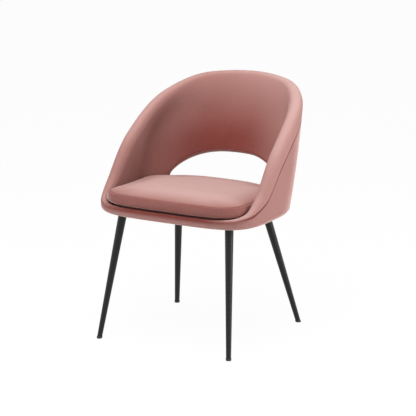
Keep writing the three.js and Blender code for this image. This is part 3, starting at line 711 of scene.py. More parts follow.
def pile_inside(places):
    """Painted light inside: the pile is lit near the rim, more at the top than on the arms, and
    gets painted shade down the back. The side walls are lit too, the sitter's left more than the
    right.
    Everywhere it is half pressed, and fully on the lip, under the pad, where it gets painted shade."""
    drop, bearing = rim_drop(places)
    bearing = np.abs(bearing)
    # Painted shade on the lip, under the pad
    lip = ease(bearing, 132 * DEGREE, 154 * DEGREE)
    x = places[:, 0]
    # Painted light near the rim and painted shade deeper down; the side walls and the sitter's left
    # get more painted light
    near_rim = 1 - ease(drop, -40 * MM, 175 * MM)
    near_rim *= mix(0.92, 0.6, ease(bearing, 85 * DEGREE, 120 * DEGREE))
    near_rim *= mix(0.75, 1.08, ease(x, -220 * MM, 220 * MM))
    sides = 0.5 * ease(-x, 90 * MM, 300 * MM) + 0.7 * ease(x, 10 * MM, 240 * MM)
    lit_share = 1 - (1 - near_rim) * (1 - sides)
    return lit_share * (1 - lip), mix(0.5, 1, lip)


def pile_outside(places):
    """Outside the pile gets painted light, a little more on the lip, save near the pad, where the
    lip gets painted shade and is pressed.
    """
    _, bearing = rim_drop(places)
    lip = ease(np.abs(bearing), 120 * DEGREE, 150 * DEGREE)
    # Painted shade on the lip just under the pad
    under_pad = lip * ease(places[:, 2], UNDERSIDE + 12 * MM, UNDERSIDE + 27 * MM)
    return mix(0.8, 0.95, lip) * (1 - under_pad), 0.8 * under_pad


def edge_roll(settings, turn):
    """The seam's roll, which closes up on the lip, where the cloth is drawn tight."""
    closing = ease(np.abs(turn), OVERHANG[0], LIP_TAPER[1])
    return settings.edge_roll * mix(1, 0.3, closing)


def seam_pucker(settings, turn, along, away):
    """Puckers beside the shell's seam, which die out where the rim turns into the lip."""
    height = settings.pucker * ease(np.abs(turn), LIP_TAPER[1], LIP_TAPER[0])
    return pucker(along, away, height)


def outer_cover(settings, material):
    """The velvet under the seat's edge, up the outside and into the seam below the rim."""
    turn = STATIONS
    roll = edge_roll(settings, turn)

    def depth_of(turn, run, along, depth):
        away = np.maximum(seam_run(turn) - run, 0)
        flat = skin_point(turn, run, 0 * run)
        raised = ripple(flat, settings.ripple) + seam_pucker(settings, turn, along, away)
        return skin_point(turn, run, depth - raised * ease(away, 0, 4 * MM))

    insets = np.linspace(HEM_INSET, BOTTOM_RADIUS, 4)
    bottom = [ledge_point(turn, UNDERSIDE, inset) for inset in insets]
    bottom += [bottom_edge_point(turn, lean, 0) for lean in np.linspace(0, math.pi / 2, 9)[1:-1]]
    start = BOTTOM_LEVEL - rim_height(turn)
    room = np.minimum((seam_run(turn) - start) * 0.7 / SEAM_STEPS[0], 1)
    last = seam_run(turn) - SEAM_STEPS[0] * room
    runs = [mix(start, last, share) for share in np.linspace(0, 1, WALL_STEPS + 1)]
    wall = [depth_of(turn, run, STATION_LENGTHS, 0) for run in runs]
    for step in SEAM_STEPS[1:]:
        run = seam_run(turn) - step * room
        wall.append(depth_of(turn, run, STATION_LENGTHS, quarter_turn(step, roll)))
    wall.append(skin_point(turn, seam_run(turn), roll + SEAM_TUCK))
    grid = np.array(bottom + wall)
    low_row = len(bottom)
    chart_z = np.array([rim_height(turn) + run for run in runs])

    def surface(turn, z, depth):
        along = np.interp(turn, STATIONS[:BLOCK_STEPS + 1], STATION_LENGTHS[:BLOCK_STEPS + 1])
        return depth_of(turn, z - rim_height(turn), along, depth + 0 * turn)

    return cover_sheet(
        "outer_cover_velvet", material, grid, low_row, low_row + WALL_STEPS, chart_z, surface,
        pile_outside, settings, True)


def inner_cover(settings, material):
    """The velvet of the rim band and of the inside, down to the deck under the pad."""
    turn = STATIONS
    roll = edge_roll(settings, turn)
    start = seam_run(turn) + GAP
    end = math.pi * rim_thickness(turn) / 2
    seam_runs = [start + step for step in reversed(SEAM_STEPS)]
    roll_runs = [mix(seam_runs[-1], end, share) for share in np.linspace(0, 1, 25)[1:-1]]
    band = [skin_point(turn, start, roll + SEAM_TUCK)]
    for run in seam_runs + roll_runs:
        away = run - start
        flat = skin_point(turn, run, 0 * run)
        raised = seam_pucker(settings, turn, STATION_LENGTHS, away) * ease(away, 0, 4 * MM)
        raised = raised + ripple(flat, settings.ripple) * ease(away, 0, 9 * MM)
        band.append(skin_point(turn, run, quarter_turn(away, roll) - raised))

    def surface(turn, level, depth):
        face = wall_point(turn, level, wall_thickness(turn, level))
        raised = ripple(face, settings.ripple)
        return wall_point(turn, level, wall_thickness(turn, level) - depth + raised)

    lowest = level_for(turn, DECK_BASE + GAP, lambda level: wall_thickness(turn, level))
    levels = [mix(rim_height(turn), lowest, share) for share in np.linspace(0, 1, WALL_STEPS + 1)]
    inside = [surface(turn, level, 0) for level in levels]
    grid = np.array(band + inside)[::-1]
    chart_z = np.array(levels)[::-1]
    return cover_sheet(
        "inner_cover_velvet", material, grid, 0, WALL_STEPS, chart_z, surface, pile_inside,
        settings, False)


def opening_band(settings, material):
    """The strip of velvet that lines the opening between its two seams."""
    along = np.linspace(0, outline.whole, 360, endpoint=False)
    turn, z = outline.chart(along)
    thickness = wall_thickness(turn, z)
    roll = settings.opening_roll
    end = BAND_REACH - 0.25 * MM
    face = [
        (end, 2 * MM), (end, 0.9 * MM), (end - 0.25 * MM, 0.3 * MM), (end - 0.8 * MM, 0.03 * MM)]
    for at in np.linspace(0, math.pi / 2, 7):
        face.append((roll * (1 - math.sin(at)), roll * (1 - math.cos(at))))
    back = [(1.5 * MM, roll + 1.5 * MM), (end - 1 * MM, 2 * MM)]
    rows = [outline.tunnel_point(along, aside, depth) for aside, depth in face]
    for share in (0.3, 0.5, 0.7):
        rows.append(outline.tunnel_point(along, -0.1 * MM, mix(roll, thickness - roll, share)))
    for aside, depth in face[::-1] + back[::-1]:
        rows.append(outline.tunnel_point(along, aside, thickness - depth))
    for aside, depth in back:
        rows.append(outline.tunnel_point(along, aside, depth))
    piece = closed_piece("opening_lining_band", rows, material, looped=True)
    mark_pile(piece, 0.3, 0.5)
    return piece


# The seat pad

PAD_RINGS = 42
PAD_RADIUS = 260 * MM
PAD_EDGE_STEPS = tuple(step * MM for step in (0, 0.7, 1.6, 2.9, 4.2, 5.5, 6.8, 8.2, 10.5, 14, 19))
PAD_STITCH_RINGS = (5, 7)
PAD_PRESSED_RINGS = ((0, 1), (1, 0.6), (4, 0.5), (5, 1), (6, 0.5), (7, 0.9))
STITCH_SINK, STITCH_LIFT, THREAD_RADIUS = 1.3 * MM, 0.12 * MM, 0.34 * MM
PAD_RIPPLE, PAD_PUCKER = 0.4 * MM, 0.28 * MM
EVENING_ROUNDS = 120
BOXING_SHARES = (
    0, 0.02, 0.06, 0.11, 0.17, 0.24, 0.33, 0.44, 0.56, 0.67, 0.77, 0.86, 0.93, 0.97, 0.99)
UNDER_ROLL, UNDER_ROLL_SHARE = 6.5 * MM, 0.3
PAD_BULGE = 2.2 * MM
ARM_CLEARANCE, BACK_CLEARANCE = 1.5 * MM, 5 * MM
FRONT_SETBACK = 4 * MM
SHOULDER_FULLNESS, CROWN_REACH = 2.4, 200 * MM
CLOTH_FRAMES = 20
CLOTH = {
    "quality": 6, "mass": 0.3, "tension_stiffness": 12, "compression_stiffness": 12,
    "shear_stiffness": 5, "bending_stiffness": 0.8, "use_pressure": True,
}


def pad_edge(turn, z, inset):
    clearance = mix(ARM_CLEARANCE, BACK_CLEARANCE, ease(np.abs(turn), *reversed(ARM_TAPER)))

    def depth_at(level):
        return wall_thickness(turn, level) + clearance

    level = level_for(turn, PAD_BASE, depth_at)
    inside = wall_point(turn, level, depth_at(level))
    front = ledge_point(turn, PAD_BASE, FRONT_SETBACK)
    edge = mix(inside, front, ease(np.abs(turn), *OVERHANG)[..., None])
    return at_height(edge - scaled(plan_normal(turn, PAD_BASE), inset + 0 * turn), z)


def pad_stations(count):
    """Turns of evenly spaced points round the pad's edge, and the length of the edge."""
    fine = np.linspace(-math.pi, math.pi, 4001)
    lengths = path_lengths(pad_edge(fine, PAD_SEAM, 0))
    return np.interp(np.arange(count) / count * lengths[-1], lengths, fine), lengths[-1]


def net_faces(ring_numbers):
    """Faces of a square net whose rings of points, 8 more in each, are given by number."""
    rings = len(ring_numbers) - 1
    size = 2 * rings + 1
    number = np.zeros((size, size), int)
    number[rings, rings] = ring_numbers[0][0]
    for ring in range(1, rings + 1):
        walk = [(-ring, way) for way in range(0, ring)]
        walk += [(way, ring) for way in range(-ring, ring)]
        walk += [(ring, way) for way in range(ring, -ring, -1)]
        walk += [(way, -ring) for way in range(ring, -ring, -1)]
        walk += [(-ring, way) for way in range(-ring, 0)]
        for (down, across), which in zip(walk, ring_numbers[ring]):
            number[rings + down, rings + across] = which
    faces = []
    for here, there in zip(number, number[1:]):
        faces += quads(here, there, closed=False)
    return faces


def pad_net(shares, height, inset):
    """Rows of points over the pad, from its middle out; shares are measured from the edge."""
    middle = np.array([0, PAD_MIDDLE_Y, 0])
    rows = [np.array([[0, PAD_MIDDLE_Y, height]])]
    for ring, share in enumerate(shares, 1):
        turns, _ = pad_stations(8 * ring)
        rows.append(at_height(mix(pad_edge(turns, 0, inset), middle, share), height))
    return rows


def seat_pad(settings, material):
    """The pad: a square net laid over the crown, with its outermost ring on the seam, the boxing
    strip below it and a flat underside. Then the filling presses the cover out."""
    spaced = np.linspace(1, PAD_EDGE_STEPS[-1] / PAD_RADIUS, PAD_RINGS - len(PAD_EDGE_STEPS) + 2)
    shares = list(spaced[1:-1]) + [step / PAD_RADIUS for step in reversed(PAD_EDGE_STEPS)]
    turns, around = pad_stations(8 * PAD_RINGS)
    top = pad_net(shares, PAD_SEAM, PAD_BULGE)
    edge = pad_edge(turns, 0, PAD_BULGE)[:, :2]
    for row in top[:-1]:
        away = np.linalg.norm(row[:, None, :2] - edge, axis=2).min(axis=1)
        falling = np.maximum(1 - away / SHOULDER_WIDTH, 0) ** SHOULDER_FULLNESS
        row[:, 2] += SHOULDER_RISE * (1 - falling) + CROWN_RISE * ease(away, 0, CROWN_REACH)
    rows = list(top)
    for share in reversed(BOXING_SHARES):
        drawn = PAD_BULGE * (2 * share - 1) ** 2
        turned = max(1 - share / UNDER_ROLL_SHARE, 0)
        z = mix(PAD_BASE, PAD_SEAM - 0.4 * MM, share)
        rows.append(pad_edge(turns, z, drawn + UNDER_ROLL * (1 - math.sqrt(1 - turned ** 2))))
    boxing_end = len(rows)
    under_shares = np.linspace(1, 0, PAD_RINGS + 1)[1:]
    under = pad_net(under_shares, PAD_BASE, PAD_BULGE + UNDER_ROLL + 1.5 * MM)
    starts = np.cumsum([0] + [len(row) for row in rows + under])
    numbers = [start + np.arange(len(row)) for start, row in zip(starts, rows + under)]
    faces = [face[::-1] for face in net_faces(numbers[:PAD_RINGS + 1])]
    boxing = numbers[PAD_RINGS:boxing_end] + [numbers[-1]]
    for here, there in zip(boxing, boxing[1:]):
        faces += quads(here, there)
    faces += net_faces(numbers[boxing_end:])
    pad = new_piece("seat_pad_cover", np.concatenate(rows + under), faces, material)
    recalculate_outwards(pad)
    held = np.concatenate([numbers[PAD_RINGS], *numbers[boxing_end - 3:]])
    press_out(pad, held, settings)
    even_crown(pad, numbers)
    heights = vectors(pad.data)[:, 2]
    pressed = np.zeros(len(heights))
    for ring, share in PAD_PRESSED_RINGS:
        pressed[numbers[PAD_RINGS - ring]] = share
    # Painted light: the crown is lighter up to its top and darker down to the seam, as light from
    # above falls; above the seam half its painted sheen is hidden
    lit_share = np.clip((heights - PAD_SEAM) / (SHOULDER_RISE + CROWN_RISE), 0, 1)
    above = heights > PAD_SEAM - 1 * MM
    mark_pile(pad, mix(0.35, 1, lit_share) * (1 - pressed), np.maximum(pressed, 0.5 * above))
    thin_backwards(pad)
    press_in_stitches(pad, numbers)
    stitch_paths = [vectors(pad.data)[numbers[PAD_RINGS - ring]] for ring in PAD_STITCH_RINGS]
    reshape(pad, "SUBSURF", levels=1, render_levels=1)
    soften_pad(pad, around, pad_edge(turns, PAD_SEAM, PAD_BULGE))
    return pad, stitch_paths


def even_crown(pad, ring_numbers):
    """Evens the crown's height out, so that no crease runs in from the pad's corners."""
    vertices = pad.data.vertices
    heights = vectors(pad.data)[:, 2]
    edges = np.array([edge.vertices for edge in pad.data.edges])
    yielding = np.zeros(len(vertices))
    for ring, ids in enumerate(ring_numbers[:PAD_RINGS]):
        yielding[ids] = ease(PAD_RINGS - ring, 4, 16)
    neighbours = np.bincount(edges.ravel(), minlength=len(vertices))
    for _ in range(EVENING_ROUNDS):
        sums = np.bincount(edges[:, 0], heights[edges[:, 1]], len(vertices))
        sums += np.bincount(edges[:, 1], heights[edges[:, 0]], len(vertices))
        heights = mix(heights, sums / neighbours, 0.5 * yielding)
    for vertex, height in zip(vertices, heights):
        vertex.co.z = height


def thin_backwards(pad):
    """Lets the pad grow thinner from its front to its back, so that the seat slopes back."""
    front, back = pad_edge(np.array([math.pi, 0]), PAD_SEAM, 0)[:, 1] + SHIFT
    for vertex in pad.data.vertices:
        share = (vertex.co.y - front) / (back - front)
        vertex.co.z = PAD_BASE + (vertex.co.z - PAD_BASE) * (1 - BACK_THINNING * share)


def press_in_stitches(pad, ring_numbers):
    """The topstitches pull the cover down into the foam along their two rows."""
    for ring in PAD_STITCH_RINGS:
        for i in ring_numbers[PAD_RINGS - ring]:
            vertex = pad.data.vertices[int(i)]
            vertex.co -= vertex.normal * STITCH_SINK


def press_out(pad, held, settings):
    """Lets the filling press on the cover, and limits how far any point moves."""
    group = pad.vertex_groups.new(name="held")
    group.add([int(i) for i in held], 1.0, "REPLACE")
    cloth = pad.modifiers.new("Cloth", "CLOTH")
    for name, value in CLOTH.items():
        setattr(cloth.settings, name, value)
    cloth.settings.uniform_pressure_force = settings.pressure
    cloth.settings.effector_weights.gravity = 0
    cloth.settings.vertex_group_mass = group.name
    cloth.point_cache.frame_start = 1
    cloth.point_cache.frame_end = CLOTH_FRAMES
    scene = bpy.context.scene
    for step in range(1, CLOTH_FRAMES + 1):
        scene.frame_set(step)
    shaped = pad.evaluated_get(bpy.context.evaluated_depsgraph_get())
    before = vectors(pad.data)
    moved = vectors(shaped.data) - before
    pad.modifiers.remove(cloth)
    pad.vertex_groups.clear()
    scene.frame_set(1)
    far = np.linalg.norm(moved, axis=1)
    if not np.isfinite(far).all() or far.max() < 0.05 * MM:
        raise RuntimeError("the pad's filling didn't press its cover out")
    keep = settings.swell * np.tanh(far / settings.swell) / np.maximum(far, 1e-9)
    move_points(pad.data, before + scaled(moved, keep))


def soften_pad(pad, around, seam_points):
    """Ripples over the crown and puckers beside the seam."""
    places, normals = vectors(pad.data), vectors(pad.data, "normal")
    middle = np.array([0, PAD_MIDDLE_Y, 0])
    flat = places - IN_FRAME - middle
    edge = seam_points - middle
    bearings = np.arctan2(flat[:, 0], flat[:, 1])
    edge_bearings = np.arctan2(edge[:, 0], edge[:, 1])
    order = np.argsort(edge_bearings)
    reach = np.interp(
        bearings, edge_bearings[order], np.hypot(edge[order, 0], edge[order, 1]),
        period=2 * math.pi)
    away = reach - np.hypot(flat[:, 0], flat[:, 1])
    along = bearings / (2 * math.pi) * around
    raised = ripple(places * np.array([1, 1, 0.4]), PAD_RIPPLE) * ease(away, 5 * MM, 40 * MM)
    raised = raised + pucker(along, away, PAD_PUCKER)
    move_points(pad.data, places + scaled(normals, raised * ease(normals[:, 2], 0.25, 0.5)))


# Repeats made with Geometry Nodes


def add_node(tree, kind, sockets=None, **settings):
    """Adds a node with its settings; an input is given a value, a socket or another node."""
    node = tree.nodes.new(kind)
    for name, value in settings.items():
        setattr(node, name, value)
    for name, value in (sockets or {}).items():
        if isinstance(value, bpy.types.Node):
            value = value.outputs[0]
        if isinstance(value, bpy.types.NodeSocket):
            tree.links.new(value, node.inputs[name])
        else:
            node.inputs[name].default_value = value
    return node


def repeats_along_path(name, path, kept, pitch, form, material, normal_way):
    """Copies of a small form, one each pitch along the kept parts of a closed path, as one mesh.
    The form is a small object whose length lies along X and whose top looks along Z."""
    tree = bpy.data.node_groups.new(name, "GeometryNodeTree")
    interface = tree.interface
    interface.new_socket("Geometry", in_out="INPUT", socket_type="NodeSocketGeometry")
    pitch_socket = interface.new_socket("Pitch", in_out="INPUT", socket_type="NodeSocketFloat")
    form_socket = interface.new_socket("Form", in_out="INPUT", socket_type="NodeSocketObject")
    interface.new_socket("Geometry", in_out="OUTPUT", socket_type="NodeSocketGeometry")
    source = add_node(tree, "NodeGroupInput")
    curve = add_node(tree, "GeometryNodeMeshToCurve", {"Mesh": source.outputs["Geometry"]})
    spaced = add_node(
        tree, "GeometryNodeResampleCurve",
        {"Curve": curve, "Length": source.outputs["Pitch"]}, mode="LENGTH")
    tangent = add_node(tree, "GeometryNodeInputTangent")
    facing = add_node(
        tree, "GeometryNodeInputNamedAttribute", {"Name": "facing"}, data_type="FLOAT_VECTOR")
    along = add_node(
        tree, "FunctionNodeAlignRotationToVector", {"Vector": tangent}, axis="X")
    upright = add_node(
        tree, "FunctionNodeAlignRotationToVector",
        {"Rotation": along, "Vector": facing.outputs["Attribute"]},
        axis="Z", pivot_axis="X")
    shape = add_node(tree, "GeometryNodeObjectInfo", {"Object": source.outputs["Form"]})
    copies = add_node(tree, "GeometryNodeInstanceOnPoints", {
        "Points": spaced, "Instance": shape.outputs["Geometry"],
        "Rotation": upright})
    real = add_node(tree, "GeometryNodeRealizeInstances", {"Geometry": copies})
    coated = add_node(tree, "GeometryNodeSetMaterial", {
        "Geometry": real, "Material": material})
    add_node(tree, "NodeGroupOutput", {"Geometry": coated})

    count = len(path)
    kept = np.broadcast_to(kept, count)
    edges = [(i, (i + 1) % count) for i in range(count) if kept[i] and kept[(i + 1) % count]]
    mesh = bpy.data.meshes.new(name)
    mesh.from_pydata([tuple(point) for point in path], edges, [])
    facing_values = mesh.attributes.new("facing", "FLOAT_VECTOR", "POINT")
    facing_values.data.foreach_set("vector", np.asarray(normal_way, dtype=float).ravel())
    piece = add_object(name, mesh)
    maker = piece.modifiers.new(name, "NODES")
    maker.node_group = tree
    maker[pitch_socket.identifier] = pitch
    maker[form_socket.identifier] = form
    settle(piece)
    if len(piece.data.vertices) == 0:
        raise RuntimeError(name + " came out empty")
    piece.data.materials.clear()
    piece.data.materials.append(material)
    piece.data.shade_smooth()
    form_mesh = form.data
    bpy.data.objects.remove(form)
    bpy.data.meshes.remove(form_mesh)
    bpy.data.node_groups.remove(tree)
    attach(piece, "root")
    return piece


def loose_form(name, rings):
    """A small closed form, to be copied along a path."""
    mesh = bpy.data.meshes.new(name)
    mesh.from_pydata(np.concatenate(rings).tolist(), [], ring_faces(rings, False))
    form = add_object(name, mesh)
    recalculate_outwards(form)
    return form


def stitch_form(length, radius):
    """One topstitch: a short thread that dips into the cloth at both ends."""
    turns = np.linspace(0, 2 * math.pi, 6, endpoint=False)
    rings = []
    for share in np.linspace(-1, 1, 7):
        thick = radius * math.sqrt(max(1 - share ** 6, 0.02))
        dip = 1.3 * radius * share ** 4
        x = np.full(len(turns), share * length / 2)
        rings.append(np.stack([x, thick * np.cos(turns), thick * np.sin(turns) - dip], axis=1))
    return loose_form("stitch", rings)


def staple_form(width):
    """A staple's flat crown, with the bends where its two legs go in."""
    wire, flat = 0.65 * MM, 0.28 * MM
    half = width / 2
    path = [(-half, -0.9), (-half, -0.1), (-half + 0.25 * MM, 0.22), (-half + 0.8 * MM, 0.3)]
    path = path + [(-x, drop) for x, drop in reversed(path)]
    sides = ((-1, -1), (1, -1), (1, 1), (-1, 1))
    return loose_form("staple", [
        [(x, y * wire, drop * MM + lift * flat) for y, lift in sides] for x, drop in path])


# Legs and what shows under the seat


def leg_places():
    for side, x in (("left", 1), ("right", -1)):
        for end, (foot, top) in LEG_PLACES.items():
            places = np.array([(x * foot[0], foot[1], 0), (x * top[0], top[1], LEG_TOP)])
            yield end + "_" + side, *places


def leg_ring(foot, top, z, radius):
    """A level ring round a leaning round tube, stretched along its lean as a level cut is."""
    lean_way = top - foot
    centre = foot + lean_way * (z / top[2])
    lean = unit(np.array([lean_way[0], lean_way[1], 0]))
    stretch = np.linalg.norm(lean_way) / lean_way[2]
    angles = np.linspace(0, 2 * math.pi, LEG_SIDES, endpoint=False)
    offset = np.stack([radius * np.cos(angles), radius * np.sin(angles), 0 * angles], axis=1)
    return centre + offset + np.outer(offset @ lean * (stretch - 1), lean)


def leg_radius(z):
    return mix(FOOT_RADIUS, LEG_RADIUS, z / LEG_TOP)


def ringed_piece(name, foot, top, section, material):
    """A closed round piece on the leg's axis, its section given as height and radius pairs."""
    rings = [leg_ring(foot, top, z, radius) for z, radius in section]
    return closed_piece(name, rings, material, looped=True)


def leg_tube(name, foot, top, settings, material):
    """A tapered steel tube with a weld round its top."""
    weld = settings.weld
    low, high = CAP_HEIGHT + GAP, LEG_TOP
    heights = [low + 0.35 * MM, *np.linspace(low + 1 * MM, high - 1.6 * weld, 14)]
    outer = [(low, leg_radius(low) - 0.3 * MM)] + [(z, leg_radius(z)) for z in heights]
    for share in (0.25, 0.5, 0.75, 1):
        swell = weld * math.sin(share * math.pi / 2) ** 2
        outer.append((high - 1.5 * weld * (1 - share), leg_radius(high) + swell))
    inner = [(high, leg_radius(high) - LEG_WALL), (low, leg_radius(low) - LEG_WALL)]
    return ringed_piece(name, foot, top, outer + inner, material)


def foot_cap(name, foot, top, material):
    """A moulded cap with rounded edges and a short plug up the tube."""
    body = FOOT_RADIUS + 0.9 * MM
    plug = leg_radius(CAP_HEIGHT) - LEG_WALL - GAP
    edge = 1.4 * MM
    section = [(0, body * 0.3), (0, body - edge)]
    for turn in np.linspace(0, math.pi / 2, 5)[1:]:
        section.append((edge * (1 - math.cos(turn)), body - edge + edge * math.sin(turn)))
    section += [(CAP_HEIGHT - 0.7 * MM, body), (CAP_HEIGHT - 0.2 * MM, body - 0.2 * MM)]
    section += [(CAP_HEIGHT, body - 0.7 * MM), (CAP_HEIGHT, plug), (CAP_HEIGHT + 12 * MM, plug)]
    section += [(CAP_HEIGHT + 13 * MM, plug - 1 * MM), (CAP_HEIGHT + 13 * MM, plug * 0.3)]
    return ringed_piece(name, foot, top, section, material)


def plate_bolts(foot, top):
    splay = math.atan2(foot[1] - top[1], foot[0] - top[0])
    return [
        top[:2] + BOLT_CIRCLE * np.array([math.cos(splay + turn), math.sin(splay + turn)])
        for turn in BOLT_TURNS
    ]


def arc(place, radius, turns):
    return [(place[0] + radius * math.cos(at), place[1] + radius * math.sin(at)) for at in turns]


def leg_plate(name, foot, top, material):
    """A pressed steel plate, a rounded triangle with a hole for each bolt."""
    corners = plate_bolts(foot, top)
    rim = []
    for i, place in enumerate(corners):
        before, after = corners[i - 1], corners[(i + 1) % 3]
        start = math.atan2(place[1] - before[1], place[0] - before[0]) - math.pi / 2
        end = math.atan2(after[1] - place[1], after[0] - place[0]) - math.pi / 2
        while end < start:
            end += 2 * math.pi
        rim += arc(place, PLATE_CORNER - PLATE_EDGE, np.linspace(start, end, 14))
    round_hole = np.linspace(0, -2 * math.pi, 24, endpoint=False)
    holes = [arc(place, PLATE_HOLE + PLATE_EDGE, round_hole) for place in corners]

    curve = bpy.data.curves.new(name, "CURVE")
    curve.dimensions = "2D"
    curve.fill_mode = "BOTH"
    curve.extrude = (PLATE_TOP - PLATE_BOTTOM) / 2 - PLATE_EDGE
    curve.bevel_depth = PLATE_EDGE
    curve.bevel_resolution = 2
    for line in [rim] + holes:
        spline = curve.splines.new("POLY")
        spline.points.add(len(line) - 1)
        for point, (x, y) in zip(spline.points, line):
            point.co = (x, y, 0, 1)
        spline.use_cyclic_u = True
    flat = add_object(name, curve)
    graph = bpy.context.evaluated_depsgraph_get()
    mesh = bpy.data.meshes.new_from_object(flat.evaluated_get(graph))
    bpy.data.objects.remove(flat)
    bpy.data.curves.remove(curve)
    points = vectors(mesh) + np.array([0, 0, (PLATE_TOP + PLATE_BOTTOM) / 2])
    piece = new_piece(name, points, [list(face.vertices) for face in mesh.polygons], material)
    bpy.data.meshes.remove(mesh)
    reshape(piece, "WELD", merge_threshold=0.01 * MM)
    recalculate_outwards(piece)
    piece.data.shade_flat()
    return piece


def dust_cover(material):
    """Black non-woven cloth stretched over the underside, its edge folded under."""
    top = ledge_point(STATIONS, DUST_TOP, DUST_INSET + 0.6 * MM)
    fold = ledge_point(STATIONS, (DUST_BOTTOM + DUST_TOP) / 2, DUST_INSET)
    below = ledge_point(STATIONS, DUST_BOTTOM, DUST_INSET + 0.6 * MM)
    shares = (0.05, 0.1, 0.2, 0.35, 0.5, 0.65, 0.8, 0.92)
    top_middle, low_middle = ((0, PAD_MIDDLE_Y, z) for z in (DUST_TOP, DUST_BOTTOM))
    rings = [mix(top, np.array(top_middle), share) for share in reversed(shares)]
    rings += [top, fold, below]
    rings += [mix(below, np.array(low_middle), share) for share in shares]
    return closed_piece("dust_cover_cloth", rings, material)


def staples(settings, material):
    """Staples that hold the dust cover, skipped where the leg plates lie over its edge."""
    fine = np.linspace(-math.pi, math.pi, 721)[:-1]
    path = ledge_point(fine, DUST_BOTTOM + 0.05 * MM, DUST_INSET + STAPLE_INSET)
    from_plates = [np.hypot(*(path[:, :2] - top[:2]).T) for _, _, top in leg_places()]
    kept = np.min(from_plates, axis=0) > STAPLE_CLEARANCE
    downwards = np.tile([0, 0, -1], (len(path), 1))
    return repeats_along_path(
        "dust_cover_staples", path + IN_FRAME, kept, settings.staple_pitch,
        staple_form(settings.staple_width), material, downwards)


DECK_SETBACK, DECK_ROUND = 15 * MM, 3 * MM


def deck_foam(material):
    """The foam deck between the seat board and the pad."""
    turn = STATIONS

    def depth_at(level):
        return wall_thickness(turn, level) + DECK_SETBACK

    level = level_for(turn, DECK_BASE, depth_at)
    edge = at_height(wall_point(turn, level, depth_at(level)), DECK_BASE)
    top = PAD_BASE - GAP
    inward = unit(np.array([0, WIDEST_LOW, 0]) - edge * np.array([1, 1, 0]))
    under = ledge_point(turn, FLANGE_BOTTOM, FLANGE_INSET + 1 * MM)
    rings = [under, at_height(under, DECK_BASE), edge]
    for lean in np.linspace(0, math.pi / 2, 5):
        row = edge + inward * DECK_ROUND * (1 - math.cos(lean))
        rings.append(at_height(row, top - DECK_ROUND * (1 - math.sin(lean))))
    rings.append(at_height(edge + inward * 30 * MM, top))
    return closed_piece("deck_foam_slab", rings, material)


# Materials


def new_material(name):
    material = bpy.data.materials.new(name)
    material.use_nodes = True
    material.node_tree.nodes.clear()
    return material, material.node_tree


def pattern(tree, kind, size, values, places=None):
    """How strong a texture is from place to place, with features of about that size."""
    places = places or add_node(tree, "ShaderNodeTexCoord").outputs["Object"]
    node = add_node(tree, "ShaderNodeTex" + kind, {"Vector": places, "Scale": 1 / size, **values})
    return node.outputs["Distance" if kind == "Voronoi" else "Fac"]


def add_surface(tree, colour, looks, relief=None, strength=0, depth=0):
    """Ends a material with its shader, and with bumps where it has a relief."""
    if relief is not None:
        bump = add_node(tree, "ShaderNodeBump", {
            "Height": relief, "Strength": strength, "Distance": depth})
        looks = {**looks, "Normal": bump.outputs["Normal"]}
    shader = add_node(tree, "ShaderNodeBsdfPrincipled", {"Base Color": colour, **looks})
    add_node(tree, "ShaderNodeOutputMaterial", {"Surface": shader})


def two_toned(name, tones, patches, looks, spread=(0, 1), gloss=None, relief=None, bumps=()):
    """A material that goes from one tone to the other with a pattern. The gloss is a range of
    roughness that goes with it, and the bumps are the strength and the depth of the relief."""
    material, tree = new_material(name)
    share = pattern(tree, *patches)
    tone = add_node(tree, "ShaderNodeMapRange", {
        "Value": share, "From Min": spread[0], "From Max": spread[1]})
    colour = add_node(
        tree, "ShaderNodeMix", {0: tone, 6: tones[0], 7: tones[1]}, data_type="RGBA")
    if gloss:
        rough = add_node(tree, "ShaderNodeMapRange", {
            "Value": share, "To Min": gloss[0], "To Max": gloss[1]})
        looks = {**looks, "Roughness": rough}
    if relief:
        relief = share if relief == patches else pattern(tree, *relief)
    add_surface(tree, colour.outputs[2], looks, relief, *bumps)
    return material


def shades(colour, low, high):
    """Two shades of one linear colour, by the factors that it is darkened or lightened with."""
    return [[value * factor for value in colour[:3]] + [1] for factor in (low, high)]


# How fast the painted sheen of the pile's tips fades as a face turns to the eye, and how much of
# the tips colour the lit pile share paints in at most, as a painted highlight on what looks up

TIPS_FALL, TIPS_WHEN_LIT = 2.8, 0.52


